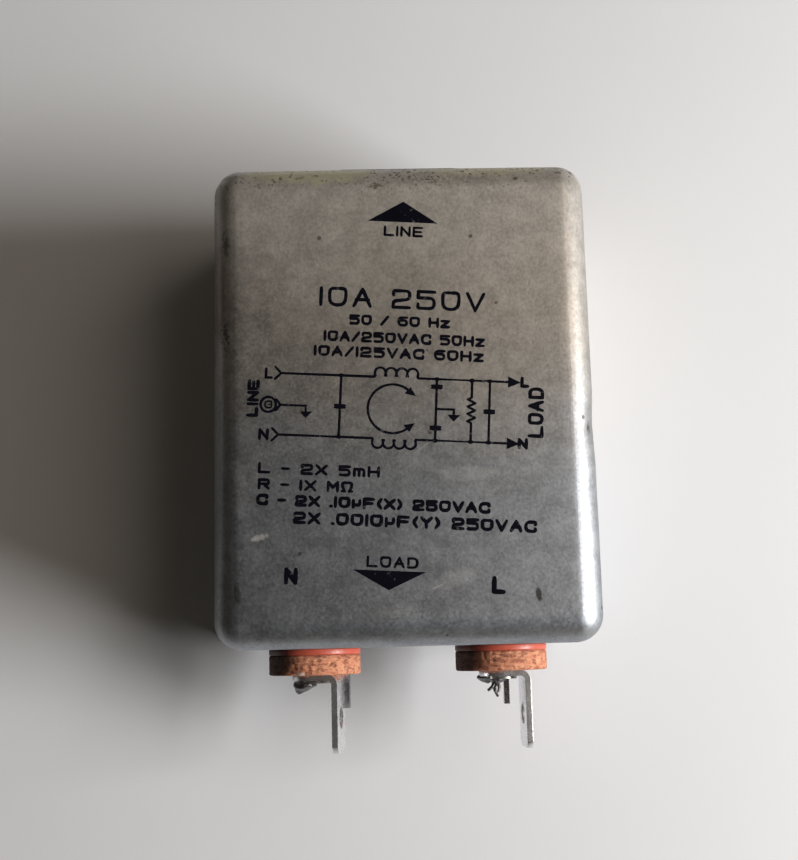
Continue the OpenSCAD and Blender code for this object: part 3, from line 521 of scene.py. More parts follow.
# Each mark: its middle, turn and reach, how finely and how far it is broken up, tint and strength
can_marks = [
    ((-3.0, 29.0, 31.8), 0.0, (4.6, 1.6, 5.0), 3400.0, 1.5, brown_stain, 0.9),
    ((4.0, 30.0, 31.8), 0.0, (4.6, 1.3, 5.0), 3800.0, 1.6, brown_stain, 0.8),
    ((-16.0, 30.0, 31.8), 0.0, (7.0, 1.2, 5.0), 3800.0, 1.8, brown_stain, 0.7),
    # Two olive bands, lighter than the plate, along the top of the line end.
    ((-12.0, 31.5, 30.9), 0.0, (21.0, 4.8, 7.0), 500.0, 0.95, olive_edge_tint, 0.56),
    ((12.0, 31.8, 30.7), 0.0, (20.0, 3.8, 7.0), 600.0, 0.95, olive_edge_tint, 0.5),
    ((0.0, 32.6, 30.8), 0.0, (50.0, 4.0, 9.0), 3200.0, 1.9, brown_stain, 0.75),
    ((6.0, 30.6, 31.8), 0.0, (34.0, 8.0, 9.0), 3800.0, 1.95, brown_stain, 0.8),
    ((15.8, 29.9, 31.8), 30.0, (1.1, 0.8, 3.0), 2600.0, 1.0, brown_stain, 0.9),
    ((-13.5, 30.6, 31.8), 10.0, (2.4, 1.1, 3.0), 1800.0, 1.2, scuff_and_shade_dark, 0.5),
    ((-24.6, 15.0, 30.6), 0.0, (1.7, 13.0, 6.0), 900.0, 0.5, red_film, 0.55),
    ((8.0, -10.5, 31.8), 0.0, (9.0, 2.6, 4.0), 900.0, 1.0, white_scrape, 0.18),
    ((-21.6, -12.0, 31.8), 0.0, (2.6, 9.0, 4.0), 1100.0, 1.1, white_scrape, 0.14),
    # Painted shade: a long dark band down the left rounding, where the unlit side mirrors the dark
    # room.
    ((-25.6, -5.0, 29.6), 0.0, (2.5, 58.0, 8.0), 2600.0, 0.5, scuff_and_shade_dark, 0.62),
    ((6.0, -24.0, 31.8), 20.0, (7.0, 3.0, 4.0), 1400.0, 1.0, white_scrape, 0.16),
    ((-2.0, -28.0, 31.8), 5.0, (8.0, 2.0, 4.0), 1800.0, 1.1, white_scrape, 0.14),
    # Real scuffs at the left edge, deepened with painted shade.
    ((-23.6, 8.6, 31.0), 0.0, (2.8, 7.5, 6.0), 2300.0, 1.6, scuff_and_shade_dark, 0.85),
    ((-23.6, 21.0, 31.0), 0.0, (1.8, 7.0, 6.0), 1500.0, 1.35, scuff_and_shade_dark, 0.6),
    ((-19.2, -18.2, 31.8), 16.0, (3.0, 1.1, 4.0), 1900.0, 1.05, white_scrape, 1.0),
    ((-22.0, -25.4, 31.2), 12.0, (0.9, 2.2, 5.0), 900.0, 0.6, scuff_and_shade_dark, 0.55),
    ((16.6, -26.3, 31.5), 4.0, (0.9, 2.1, 5.0), 2300.0, 0.9, scuff_and_shade_dark, 0.95),
    ((2.0, -7.0, 31.8), 35.0, (3.6, 0.22, 4.0), 1100.0, 1.0, white_scrape, 0.3),
    ((3.6, -25.0, 31.8), 24.0, (2.8, 0.3, 4.0), 1100.0, 1.0, white_scrape, 0.35),
    ((24.2, -4.6, 29.9), 0.0, (1.0, 2.4, 3.0), 1600.0, 1.2, scuff_and_shade_dark, 0.8),
]
case_plate = tinned_plate(
    "case_plate", warm=(0.42, 0.388, 0.35), cool=(0.32, 0.337, 0.366), marks=can_marks,
)

can_low, can_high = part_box("case_can")
can_middle = (can_low + can_high) / 2
can_grid = 1.6 * mm
wave_reach = 16 * mm
wave_depth = 0.06 * mm
crown_fall = 0.3 * mm
crown_band = 7 * mm
stiff_rim = 4 * mm
stiff_end = 1.5 * mm
wall_power = 7
dent_reach = 2.2 * mm

# Each dent: its middle and its depth, in millimetres
dents = [
    ((25.2, -3.2, 29.4), 0.22), ((25.3, -6.4, 30.2), 0.16), ((24.6, -13.0, 30.6), 0.1),
    ((-25.2, 6.5, 30.0), 0.06), ((-24.8, 20.5, 30.4), 0.12), ((-21.8, -25.8, 31.4), 0.12),
    ((16.4, -26.2, 31.6), 0.1), ((-18.9, -18.1, 31.8), 0.06), ((9.0, 30.8, 31.0), 0.08),
]


def cut_grid(shape, low, high, step):
    """Cuts a shape across by planes a step apart, so that its flat faces can take soft dents."""
    for axis in range(3):
        direction = Vector((0, 0, 0))
        direction[axis] = 1
        count = round((high[axis] - low[axis]) / step)
        for cut in range(1, count):
            at = Vector(low)
            at[axis] += (high[axis] - low[axis]) * cut / count
            geometry = shape.verts[:] + shape.edges[:] + shape.faces[:]
            bmesh.ops.bisect_plane(
                shape, geom=geometry, dist=0.001 * mm, plane_co=at, plane_no=direction,
            )


def crown_at(point):
    """How far the label face falls away from its middle, as a drawn can's does."""
    return crown_fall * ((point.x / can_high.x) ** 2 + 0.6 * (point.y / can_high.y) ** 2)


def hollow_at(point):
    """How far the plate is pushed in at a point: soft waves all over, and the dents."""
    hollow = wave_depth * (0.5 + 0.5 * noise.noise(point / wave_reach))
    for dent, depth in dents:
        away = (point - Vector(dent) * mm).length / dent_reach
        hollow += depth * mm * math.exp(-away * away)
    return hollow


can_shape = merged_copy("case_can")
cut_grid(can_shape, can_low, can_high, can_grid)
for vertex in can_shape.verts:
    inward = Vector((-vertex.co.x / can_high.x, -vertex.co.y / can_high.y, 0))
    inward = Vector([round(v * abs(v) ** wall_power, 4) for v in inward])
    inward.z = min(0.0, (can_middle.z - vertex.co.z) / can_middle.z)
    on_top = min(1.0, max(0.0, 1 - (can_high.z - vertex.co.z) / crown_band))
    fall = crown_at(vertex.co) * on_top * on_top * (3 - 2 * on_top)
    if vertex.co.z > stiff_rim and vertex.co.y < can_high.y - stiff_end:
        vertex.co += inward * hollow_at(vertex.co)
    vertex.co.z -= fall
put_in_scene("case_skin", finish_mesh("case_skin", can_shape), case_plate, "tinned_can", "case_can")


# The load terminals, insulated from the can: a smooth red bush in the wall, a coarse brown fibre
# washer, and a rivet that holds the tab. The tab's end is soldered, with wire strands cut short.

def paint_shade_round(material, middles, reach, tint, share, breaks=0.5):
    """Paints shade into a finished material: darkens it round the middles given, in millimetres."""
    tree = material.node_tree
    shader = tree.nodes["Principled BSDF"]
    here = tree.nodes["Texture Coordinate"].outputs["Object"]
    colour = shader.inputs["Base Color"].links[0].from_socket
    for middle in middles:
        painted_shade = use_group(
            tree, mark, Vector=here, Middle=[v * mm for v in middle], Reach=[v * mm for v in reach],
            Grain=1500.0, Breaks=breaks,
        )
        colour = blend_colours(tree, calculate(tree, "MULTIPLY", painted_shade, share), colour, tint)
    tree.links.new(colour, shader.inputs["Base Color"])


fibre_light = (0.68, 0.31, 0.17)
fibre_dark = (0.46, 0.15, 0.075)
fibre_hollow = (0.27, 0.06, 0.032)
fibre_pit = (0.19, 0.042, 0.024)
dried_flux = (0.72, 0.56, 0.5)
flux_at = (-14.7 * mm, -35.8 * mm, 22.1 * mm)
flux_reach = (2.1 * mm, 0.55 * mm, 1.4 * mm)
fibre_relief = 0.14 * mm


def vulcanised_fibre(name):
    """Brown fibre: layered, torn and pitted, with dried flux at one place."""
    material, tree, shader, place = open_material(name)
    here = place.outputs["Object"]
    torn = add_node(tree, "ShaderNodeMapping", Vector=here, Scale=(0.7, 1.3, 0.7)).outputs[0]
    patches = use_group(tree, mottling, Vector=torn, Scale=1300.0, Contrast=3.2)
    layered = add_node(tree, "ShaderNodeMapping", Vector=here, Scale=(0.5, 2.0, 0.5)).outputs[0]
    layers = use_group(tree, mottling, Vector=layered, Scale=1300.0, Contrast=2.8)
    grain = use_group(tree, mottling, Vector=here, Scale=3200.0, Contrast=2.6)
    pits = use_group(tree, pitting, Vector=torn, Scale=1250.0, Share=0.4, Radius=0.6)
    faces = add_node(tree, "ShaderNodeSeparateXYZ", Vector=place.outputs["Normal"]).outputs[1]
    on_rim = between(tree, calculate(tree, "ABSOLUTE", faces), 0.95, 0.6, 0.3, 1.0)
    hollow = calculate(tree, "MULTIPLY", between(tree, patches, 0.62, 0.86), on_rim)
    pits = calculate(tree, "MULTIPLY", pits, on_rim)
    colour = blend_colours(tree, layers, fibre_dark, fibre_light)
    colour = blend_colours(tree, calculate(tree, "MULTIPLY", hollow, 0.55), colour, fibre_hollow)
    colour = blend_colours(tree, calculate(tree, "MULTIPLY", pits, 0.45), colour, fibre_pit)
    flux = use_group(
        tree, mark, Vector=here, Middle=flux_at, Reach=flux_reach, Grain=2600.0, Breaks=0.9,
    )
    colour = blend_colours(tree, calculate(tree, "MULTIPLY", flux, 0.85), colour, dried_flux)
    tree.links.new(colour, shader.inputs["Base Color"])
    tree.links.new(between(tree, grain, 0.1, 0.9, 0.62, 0.9), shader.inputs["Roughness"])
    height = calculate(tree, "MULTIPLY", layers, 0.4)
    height = calculate(tree, "ADD", height, calculate(tree, "MULTIPLY", grain, 0.3))
    height = calculate(tree, "SUBTRACT", height, calculate(tree, "MULTIPLY", pits, 0.8))
    height = calculate(tree, "SUBTRACT", height, hollow)
    give_bump(tree, shader, height, 0.9, fibre_relief)
    return material


red_compound = coated(
    "red_compound", (0.6, 0.11, 0.065), rough=0.38, shade_share=0.1, patch_scale=600.0,
    grain_scale=2400.0, grain_height=0.02 * mm,
)
brown_fibre = vulcanised_fibre("brown_fibre")
# The left sides of the discs, bush and fibre alike, are darkened with painted shade where they turn
# away from the window lamp.
disc_left_sides = [(-19.6, -34.0, 15.9), (6.0, -34.0, 15.9)]
painted_shade_reach = (8.2, 7.5, 16.0)
painted_shade = (0.035, 0.016, 0.016)
paint_shade_round(brown_fibre, disc_left_sides, painted_shade_reach, painted_shade, 0.9)
paint_shade_round(red_compound, disc_left_sides, painted_shade_reach, painted_shade, 0.86)
dull_tin = coated(
    "dull_tin", (0.5, 0.49, 0.45), rough=0.34, metallic=1.0, shade_share=0.16, patch_scale=900.0,
    grain_scale=3000.0,
)
tab_tin = coated(
    "tab_tin", (0.86, 0.86, 0.89), rough=0.26, rough_spread=0.05, metallic=0.92, shade_share=0.08,
    patch_scale=500.0, grain_scale=1400.0, grain_height=0.0006 * mm,
)
# The neutral tab's tail prong is darkened with painted shade where it lies in shadow.
neutral_tail = (-8.3, -38.6, 11.8)
tail_reach = (2.2, 7.0, 2.4)
tail_painted_shade = (0.05, 0.05, 0.055)
paint_shade_round(tab_tin, [neutral_tail], tail_reach, tail_painted_shade, 0.95, breaks=0.15)
burnt_solder = coated(
    "burnt_solder", (0.22, 0.21, 0.215), rough=0.3, rough_spread=0.25, metallic=1.0,
    shade_share=0.35, patch_scale=1400.0, grain_scale=3800.0, grain_height=0.04 * mm,
)

washer_bore = 1.65 * mm
bore_edge = 1.2 * washer_bore
rim_from = 0.98
washer_steps = 220
washer_layers = 15
washer_rings = 5
washer_edge = 0.2 * mm
washer_rough = 0.05 * mm
rough_reach = 1.1 * mm
washer_tear = 0.24 * mm
tear_reach = 0.55 * mm
tear_from = 0.12


def fibre_disc(node):
    """A stamped fibre washer, spun from its section, with its rim roughened by the stamping."""
    low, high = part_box(node)
    middle = (low + high) / 2
    outer = (high.x - low.x) / 2
    section = bmesh.new()
    corners = [(washer_bore, low.y), (outer, low.y), (outer, high.y), (washer_bore, high.y)]
    points = [section.verts.new((middle.x + r, y, middle.z)) for r, y in corners]
    ends = zip(points, points[1:] + points[:1])
    inner_face, rim, outer_face, _ = [section.edges.new(pair) for pair in ends]
    bmesh.ops.subdivide_edges(section, edges=[rim], cuts=washer_layers)
    bmesh.ops.subdivide_edges(section, edges=[inner_face, outer_face], cuts=washer_rings)
    bmesh.ops.spin(
        section, geom=section.verts[:] + section.edges[:], cent=middle, axis=(0, 1, 0),
        angle=2 * math.pi, steps=washer_steps, use_merge=True,
    )
    bmesh.ops.recalc_face_normals(section, faces=section.faces)
    for vertex in section.verts:
        out = Vector((vertex.co.x - middle.x, 0, vertex.co.z - middle.z))
        radius = out.length
        if radius < bore_edge:
            continue
        to_face = min(high.y - vertex.co.y, vertex.co.y - low.y)
        rounded = max(0.0, 1 - to_face / washer_edge) if radius > outer * rim_from else 0.0
        coarse = 0.5 + 0.5 * noise.noise(vertex.co / rough_reach)
        torn = max(0.0, noise.noise(vertex.co / tear_reach) - tear_from)
        worn = washer_rough * coarse + washer_tear * torn + washer_edge * rounded * rounded
        vertex.co -= out.normalized() * worn * (radius / outer)
    return finish_mesh(node, section, sharp_degrees=60.0)


def eased_copy(node, width, steps=2):
    """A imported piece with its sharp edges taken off."""
    shape = merged_copy(node)
    ease_edges(shape, width, steps)
    return finish_mesh(node, shape)


# Each drop: where it sits, how far it reaches along x, y and z, and how far its end is drawn aside
solder_drops = {
    "live": [
        ((10.75, -37.05, 15.9), (1.25, 0.75, 1.2), (0.2, 0.0)),
        ((12.2, -37.3, 15.9), (1.45, 0.6, 1.5), (0.0, 0.2)),
        ((12.0, -38.0, 16.2), (0.5, 0.6, 0.5), (-0.2, 0.1)),
    ],
    "neutral": [((-14.35, -37.5, 15.9), (1.65, 1.1, 1.75), (-0.85, 0.1))],
}
clipped_strands = {
    "live": [
        [(12.0, -37.6, 16.4), (11.5, -38.3, 16.7), (10.9, -38.75, 16.6)],
        [(12.0, -37.8, 16.0), (11.9, -38.7, 16.2), (12.35, -39.6, 16.0)],
        [(12.3, -37.6, 16.8), (12.5, -38.4, 17.0), (12.3, -39.0, 17.0)],
    ],
    "neutral": [],
}
strand_radius = 0.24 * mm
strand_shares = (1.0, 1.0, 0.75)
drop_taper = 0.62
lump_reach = 0.75 * mm
lump_depth = 0.16 * mm
bush_easing = 0.15 * mm
rivet_easing = 0.08 * mm
tab_easing = 0.06 * mm


def solder_mass(side):
    """The solder on a tab: drops that run to a point, and strands cut short in them."""
    shape = bmesh.new()
    for middle, reach, lean in solder_drops[side]:
        made = bmesh.ops.create_icosphere(shape, subdivisions=5, radius=1)
        for vertex in made["verts"]:
            along = max(0.0, -vertex.co.y)
            narrow = 1 - drop_taper * along
            aside = Vector((lean[0], 0, lean[1])) * along * mm
            spot = Vector([c * r * mm for c, r in zip(vertex.co, reach)])
            spot.x *= narrow
            spot.z *= narrow
            outward = (spot + aside).normalized()
            vertex.co = spot + aside + Vector(middle) * mm
            vertex.co += outward * lump_depth * noise.noise(vertex.co / lump_reach)
    if clipped_strands[side]:
        paths = []
        for strand in clipped_strands[side]:
            paths.append([(Vector(at) * mm, share) for at, share in zip(strand, strand_shares)])
        strands = draw_wires("strands", paths, strand_radius)
        shape.from_mesh(strands)
        bpy.data.meshes.remove(strands)
    return finish_mesh(side + "_solder", shape, sharp_degrees=60.0)


for side_name in ("live", "neutral"):
    put_in_scene(
        side_name + "_bush", eased_copy(side_name + "_load_bush", bush_easing, 3), red_compound,
        "red_bush", side_name + "_load_bush", flat_sides=True,
    )
    put_in_scene(
        side_name + "_outer_washer", fibre_disc(side_name + "_fibre_washer"), brown_fibre,
        "brown_fibre", side_name + "_fibre_washer",
    )
    dress(brown_fibre, side_name + "_inner_washer")
    put_in_scene(
        side_name + "_tube_rivet", eased_copy(side_name + "_rivet", rivet_easing), dull_tin,
        "tinned_rivet", side_name + "_rivet", flat_sides=True,
    )
    put_in_scene(
        side_name + "_tab", eased_copy(side_name + "_load_tab", tab_easing), tab_tin,
        "tinned_tab", side_name + "_load_tab", flat_sides=True,
    )
    put_in_scene(
        side_name + "_solder", solder_mass(side_name), burnt_solder,
        "dull_solder", side_name + "_tab_solder",
    )


# The base: a shallow tinned pan pushed into the can's open side, with a sheet of fish paper on it
# that keeps the board's joints off the metal.

cover_plate = tinned_plate("cover_plate", warm=(0.4, 0.385, 0.36), cool=(0.36, 0.365, 0.37))
dress(cover_plate, "base_cover")
dress(coated("fish_paper", (0.7, 0.64, 0.46), rough=0.7, grain_scale=1500.0), "insulating_sheet")


# The print on the label: dark ink from a stencil, set a little askew on the can, and slightly worn.
# It holds the circuit, the names of the two ends and plain ratings, all in strokes of one pen.

ink_turn = math.radians(-3.5)
ink_lift = 0.012 * mm
ink_film = 0.03 * mm
ink_black = (0.001, 0.001, 0.003)
ink_blue = (0.003, 0.003, 0.008)
worn_ink = (0.16, 0.16, 0.16)
line_width = 0.33 * mm
blotch_reach = 0.7 * mm
blotch_share = 0.24
point_apart = 0.001 * mm


def printing_ink(name):
    """Dark ink, rubbed thin in places so that the plate shows through."""
    material, tree, shader, place = open_material(name)
    here = place.outputs["Object"]
    rubbed = use_group(tree, mottling, Vector=here, Scale=1500.0, Contrast=3.0)
    worn = between(tree, rubbed, 0.88, 1.15)
    shades = use_group(tree, mottling, Vector=here, Scale=300.0, Contrast=2.0)
    ink = blend_colours(tree, shades, ink_black, ink_blue)
    colour = blend_colours(tree, worn, ink, worn_ink)
    tree.links.new(colour, shader.inputs["Base Color"])
    tree.links.new(between(tree, rubbed, 0.0, 1.0, 0.6, 0.85), shader.inputs["Roughness"])
    shader.inputs["Specular IOR Level"].default_value = 0.06
    return material


pen = bpy.data.curves.new("pen", "CURVE")
pen.dimensions = "3D"
pen.bevel_depth = 1.0
pen.bevel_resolution = 1
pen.use_fill_caps = True
shapes = bmesh.new()


def ink_line(points, width=line_width):
    """One pen stroke through places on the label, in millimetres, with round ends."""
    places = [Vector((*p, 0)) * mm for p in points]
    round_end = min(width / 2, (places[1] - places[0]).length / 2)
    stroke = []
    for end, after in ((places[0], places[1]), (places[-1], places[-2])):
        back = (end - after).normalized() * width / 2
        into = (after - end).normalized() * round_end
        stroke.append([(end + back, 0.25), (end + back * 0.6, 0.75), (end + into, 1.0)])
    whole = stroke[0] + [(p, 1.0) for p in places[1:-1]] + stroke[1][::-1]
    whole = whole[:1] + [b for a, b in zip(whole, whole[1:]) if (b[0] - a[0]).length > point_apart]
    spline = pen.splines.new("POLY")
    spline.points.add(len(whole) - 1)
    for point, (at, share) in zip(spline.points, whole):
        blotch = 1 + blotch_share * noise.noise(at / blotch_reach)
        point.co = (*at, 1)
        point.radius = width / 2 * share * blotch


def ink_path(*points, width=line_width):
    """Straight pen strokes from place to place, with sharp corners."""
    for start, end in zip(points, points[1:]):
        ink_line([start, end], width)


def ink_arc(middle, radius, start_degrees, turn_degrees, width=line_width, steps=16):
    """A pen stroke round part of a circle."""
    angles = [math.radians(start_degrees + turn_degrees * n / steps) for n in range(steps + 1)]
    x, y = middle
    ink_line([(x + radius * math.cos(a), y + radius * math.sin(a)) for a in angles], width)


def ink_fill(*points):
    """A filled shape of ink."""
    shapes.faces.new([shapes.verts.new(Vector((*p, 0)) * mm) for p in points])


# Each sign's strokes, as places on a grid of 8 by 8. The inner corners of a stroke are rounded
signs = {
    "A": "00-48 48-80 13-73", "C": "86-88-08-00-80-82", "D": "00-08 08-88-80-00",
    "E": "00-08 08-88 04-74 00-80", "F": "00-08 08-88 04-74", "G": "86-88-08-00-80-84 84-54",
    "H": "00-08 80-88 04-84", "I": "00-08", "L": "08-00 00-80", "M": "00-08 08-43 43-88 88-80",
    "N": "00-08 08-80 80-88", "O": "48-88-80-00-08-48", "R": "00-08 08-88-84-04 44-80",
    "V": "08-40 40-88", "X": "00-88 08-80", "Y": "08-44 88-44 44-40", "z": "06-76 76-00 00-70",
    "m": "00-06 05-06-46-40 45-46-86-80", "µ": "06-00 05-02-62-66",
    "Ω": "00-20 20-04-08-88-84-60 60-80", "0": "48-88-80-00-08-48", "1": "00-08",
    "2": "06-08-88-84-03-00 00-80", "5": "88-08 08-05 05-85-80-00-02", "6": "88-08-00-80-85-05",
    "/": "00-68", "-": "04-54", ".": "00-00", "(": "38-15-13-30", ")": "08-25-23-00", " ": "",
}
sign_wide = 8
slim_signs = {"I": 0, "1": 0, ".": 0, "(": 3, ")": 3, "/": 6, "-": 5, " ": 3, "z": 7, "µ": 6}
sign_gap = 4.2
sign_corner = 3.8
corner_points = 5
dot_length = 0.4


def round_corners(points, reach):
    """Draws a stroke's inner corners round."""
    path = [points[0]]
    for before, corner, after in zip(points, points[1:], points[2:]):
        cut = min(reach, (before - corner).length / 2, (after - corner).length / 2)
        start = corner + (before - corner).normalized() * cut
        end = corner + (after - corner).normalized() * cut
        for n in range(corner_points):
            t = n / (corner_points - 1)
            path.append(start * (1 - t) ** 2 + corner * 2 * t * (1 - t) + end * t * t)
    return path + [points[-1]]


def ink_words(words, left, right, low, high, turned=False, width=line_width):
    """Words that fill the space given, in millimetres. Turned words read upwards."""
    wide, tall = (high - low, right - left) if turned else (right - left, high - low)
    pen_half = width / mm / 2
    units = sum(slim_signs.get(sign, sign_wide) + sign_gap for sign in words) - sign_gap
    unit = (wide - 2 * pen_half) / max(units, 1)
    rise = (tall - 2 * pen_half) / sign_wide
    at = pen_half
    for sign in words:
        for stroke in signs[sign].split():
            corners = [Vector((int(c[0]), int(c[1]))) for c in stroke.split("-")]
            if len(corners) == 2 and corners[0] == corners[1]:
                corners[1] = corners[1] + Vector((dot_length, 0))
            places = round_corners(corners, sign_corner)
            path = [Vector((at + p.x * unit, pen_half + p.y * rise)) for p in places]
            if turned:
                path = [Vector((tall - p.y, p.x)) for p in path]
            ink_line([(left + p.x, low + p.y) for p in path], width)
        at += (slim_signs.get(sign, sign_wide) + sign_gap) * unit


# The two arrows and the words
arrow_x, arrow_half, arrow_tall = -1.1, 4.7, 2.9
line_arrow_base, load_arrow_base = 23.8, -22.95
ink_fill(
    (arrow_x - arrow_half, line_arrow_base), (arrow_x + arrow_half, line_arrow_base),
    (arrow_x, line_arrow_base + arrow_tall),
)
ink_fill(
    (arrow_x + arrow_half, load_arrow_base), (arrow_x - arrow_half, load_arrow_base),
    (arrow_x, load_arrow_base - arrow_tall * 0.85),
)
fine, plain, bold, heavy = (w * mm for w in (0.34, 0.4, 0.47, 0.62))
for words, left, right, low, high, turned, width in [
    ("LINE", -3.6, 1.7, 21.75, 23.25, False, fine),
    ("10A 250V", -11.8, 10.3, 11.7, 14.45, False, bold),
    ("50 / 60 Hz", -7.7, 5.7, 9.3, 10.75, False, plain),
    ("10A/250VAC 50Hz", -11.0, 10.4, 6.95, 8.45, False, plain),
    ("10A/125VAC 60Hz", -12.2, 10.3, 4.9, 6.4, False, plain),
    ("LINE", -20.65, -19.05, -3.6, 1.4, True, bold),
    ("LOAD", 16.3, 18.4, -4.9, 1.85, True, bold),
    ("L", -18.5, -17.4, 1.55, 3.1, False, plain),
    ("N", -18.9, -17.5, -6.6, -5.05, False, plain),
    ("G", -18.35, -17.25, -2.4, -1.3, False, fine * 0.7),
    ("L", 15.2, 16.4, 1.7, 3.2, False, bold),
    ("N", 15.0, 16.4, -6.5, -5.0, False, bold),
    ("L - 2X 5mH", -18.7, -2.8, -11.0, -9.5, False, plain),
    ("R - 1X MΩ", -18.6, -6.2, -13.1, -11.6, False, plain),
    ("C - 2X .10µF(X) 250VAC", -18.7, 11.7, -15.15, -13.6, False, bold),
    ("2X .0010µF(Y) 250VAC", -13.8, 17.8, -17.4, -15.75, False, bold),
    ("LOAD", -4.1, 2.6, -22.6, -21.1, False, fine),
    ("N", -14.6, -12.8, -25.2, -23.0, False, heavy),
    ("L", 12.1, 13.9, -25.4, -23.1, False, heavy),
]:
    ink_words(words, left, right, low, high, turned, width)

# The circuit: two lines from the inlet through the coils, with what lies between them and earth
live_y, neutral_y, earth_y = 2.4, -5.8, -1.85
coil_from, coil_to, hump_count = -4.0, 1.7, 4
hump = (coil_to - coil_from) / hump_count / 2
hump_rise, stub = 0.55, 0.5
inlet_x, load_x = -16.3, 13.6
fork, tip_half, tip_long = 0.8, 0.75, 1.7
for row_y, up in ((live_y, 1), (neutral_y, -1)):
    ink_path((inlet_x, row_y), (coil_from, row_y))
    ink_path((coil_to, row_y), (load_x, row_y))
    for n in range(hump_count):
        hump_middle = (coil_from + hump * (2 * n + 1), row_y + up * hump_rise)
        ink_arc(hump_middle, hump, -30 if up > 0 else 150, 240, steps=17)
    ink_path((coil_from, row_y), (coil_from, row_y + up * stub))
    ink_path((coil_to, row_y), (coil_to, row_y + up * stub))
    ink_path((inlet_x - fork, row_y + fork), (inlet_x, row_y), (inlet_x - fork, row_y - fork))
    ink_fill((load_x, row_y + tip_half), (load_x, row_y - tip_half), (load_x + tip_long, row_y))
ink_arc((-17.8, earth_y), 1.0, 0, 360, width=fine, steps=28)
ink_path((-16.8, earth_y + 0.75), (-16.2, earth_y), (-16.8, earth_y - 0.75))
ink_path((-16.3, earth_y), (-12.85, earth_y), (-12.85, -2.6))
ink_fill((-13.7, -2.6), (-12.85, -3.5), (-12.0, -2.6))
ink_arc((-1.5, -1.8), 3.25, 45, 270, steps=48)
for tip_y, up in ((0.5, 1), (-4.1, -1)):
    ink_fill(*[(0.8, tip_y + up * 0.7), (1.5, tip_y - up * 0.5), (0.0, tip_y - up * 0.2)][::up])


def ink_capacitor(x, y, half=0.62, gap=0.3):
    """The two plates of a capacitor, across a line that goes down."""
    for plate_y in (y + gap / 2, y - gap / 2):
        ink_line([(x - half, plate_y), (x + half, plate_y)], line_width * 1.1)


line_x_at, y_at, load_x_at = -8.4, 4.2, 11.2
joint_width = 0.55 * mm
for x, plates in ((line_x_at, [-1.75]), (y_at, [1.35, -4.15]), (load_x_at, [-1.7])):
    ink_path((x, live_y), (x, neutral_y))
    for y in plates:
        ink_capacitor(x, y)
ink_path((y_at, -1.6), (6.55, -1.6), (6.55, -2.4))
ink_fill((5.7, -2.3), (6.55, -3.2), (7.4, -2.3))
zigzag_x, zigzag_top, zigzag_low, zigzags, zigzag_half = 8.85, 0.1, -3.3, 7, 0.5
zigzag_drop = (zigzag_low - zigzag_top) / zigzags
steps = [
    (zigzag_x + zigzag_half * (1 if n % 2 else -1), zigzag_top + zigzag_drop * (n + 0.5))
    for n in range(zigzags)
]
ink_path(
    (zigzag_x, live_y), (zigzag_x, zigzag_top), *steps, (zigzag_x, zigzag_low),
    (zigzag_x, neutral_y),
)
for joint_x in (line_x_at, y_at, zigzag_x, load_x_at):
    for joint_y in (live_y, neutral_y):
        ink_line([(joint_x - 0.1, joint_y), (joint_x + 0.1, joint_y)], joint_width)

film_top = bmesh.ops.extrude_face_region(shapes, geom=shapes.faces[:], use_keep_orig=True)
for vertex in [v for v in film_top["geom"] if isinstance(v, bmesh.types.BMVert)]:
    vertex.co.z += ink_film / 2
bmesh.ops.subdivide_edges(shapes, edges=shapes.edges[:], cuts=3, use_grid_fill=True)
pen_maker = bpy.data.objects.new("pen", pen)
pen_mesh = bpy.data.meshes.new_from_object(pen_maker)
bpy.data.objects.remove(pen_maker)
label = bmesh.new()
label.from_mesh(pen_mesh)
for vertex in label.verts:
    vertex.co.z *= ink_film / line_width
label_mesh = bpy.data.meshes.new("label_print")
shapes.to_mesh(label_mesh)
shapes.free()
label.from_mesh(label_mesh)
bmesh.ops.remove_doubles(label, verts=label.verts, dist=0.00001 * mm)
bmesh.ops.recalc_face_normals(label, faces=label.faces)
label.transform(Matrix.Rotation(ink_turn, 4, "Z"))
for vertex in label.verts:
    on_plate = Vector((vertex.co.x, vertex.co.y, can_high.z))
    vertex.co.z += can_high.z - hollow_at(on_plate) - crown_at(on_plate) + ink_lift
label.to_mesh(label_mesh)
label.free()
label_mesh.shade_smooth()
label_mesh.set_sharp_from_angle(angle=math.radians(40))
label_piece = bpy.data.objects.new("label_print", label_mesh)
bpy.context.scene.collection.objects.link(label_piece)
label_mesh.materials.append(printing_ink("printing_ink"))
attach(label_piece, "root")


# The studio: a plain pale floor, a wide soft lamp low on the right, as from a window,
# and a weak even light from all round.

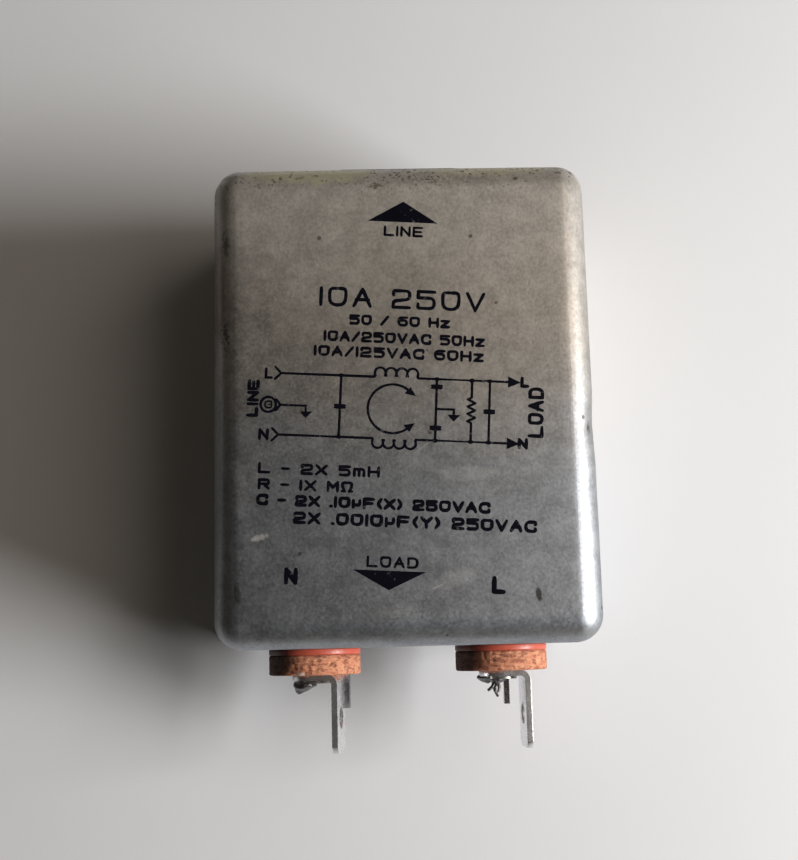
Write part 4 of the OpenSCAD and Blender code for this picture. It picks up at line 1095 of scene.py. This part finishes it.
floor_colour = (0.74, 0.74, 0.75)
floor_half = 900 * mm
floor_shape = bmesh.new()
bmesh.ops.create_grid(floor_shape, x_segments=1, y_segments=1, size=floor_half)
floor_mesh = bpy.data.meshes.new("floor")
floor_shape.to_mesh(floor_mesh)
floor_shape.free()
floor = bpy.data.objects.new("floor", floor_mesh)
bpy.context.scene.collection.objects.link(floor)
floor_mesh.materials.append(
    coated("pale_floor", floor_colour, rough=0.85, shade_share=0.01, patch_scale=20.0),
)


def hang_lamp(name, place, size, power, colour=(1.0, 1.0, 1.0), aim=(0.0, 0.0, 0.01)):
    """A soft lamp that looks at the filter."""
    data = bpy.data.lights.new(name, "AREA")
    data.shape = "RECTANGLE"
    data.size, data.size_y = size
    data.energy = power
    data.color = colour
    lamp = bpy.data.objects.new(name, data)
    lamp.location = place
    lamp.rotation_euler = (Vector(aim) - Vector(place)).to_track_quat("-Z", "Y").to_euler()
    bpy.context.scene.collection.objects.link(lamp)


hang_lamp("window_lamp", (0.44, -0.1, 0.27), size=(0.28, 0.18), power=3.85)
hang_lamp(
    "ceiling_lamp", (0.27, 0.09, 0.42), size=(0.3, 0.3), power=0.44, colour=(1.0, 0.88, 0.74),
)

# The room: dim and warm where it lights the filter, pale where it is seen or mirrored low down
room_light = 0.035
room_seen = 0.72
room_mirrored = 0.3
world = bpy.data.worlds.new("studio")
bpy.context.scene.world = world
world.use_nodes = True
room = world.node_tree
ray = room.nodes.new("ShaderNodeLightPath")
direction = room.nodes.new("ShaderNodeTexCoord")
way = add_node(room, "ShaderNodeSeparateXYZ", Vector=direction.outputs["Generated"])
low_down = between(room, way.outputs["Z"], 0.75, 0.15)
window_side = between(room, way.outputs["X"], -0.4, 0.7)
mirrored = calculate(room, "MULTIPLY", low_down, window_side)
mirrored = calculate(room, "MULTIPLY", mirrored, room_mirrored)
mirrored = calculate(room, "MULTIPLY", mirrored, ray.outputs["Is Glossy Ray"])
seen = calculate(room, "MULTIPLY", ray.outputs["Is Camera Ray"], room_seen)
strength = calculate(room, "ADD", calculate(room, "ADD", mirrored, seen), room_light)
room_colour = blend_colours(room, ray.outputs["Is Camera Ray"], (1.0, 0.87, 0.7), (1.0, 0.99, 0.98))
room.links.new(room_colour, room.nodes["Background"].inputs["Color"])
room.links.new(strength, room.nodes["Background"].inputs["Strength"])

bpy.context.scene.view_settings.view_transform = "Standard"
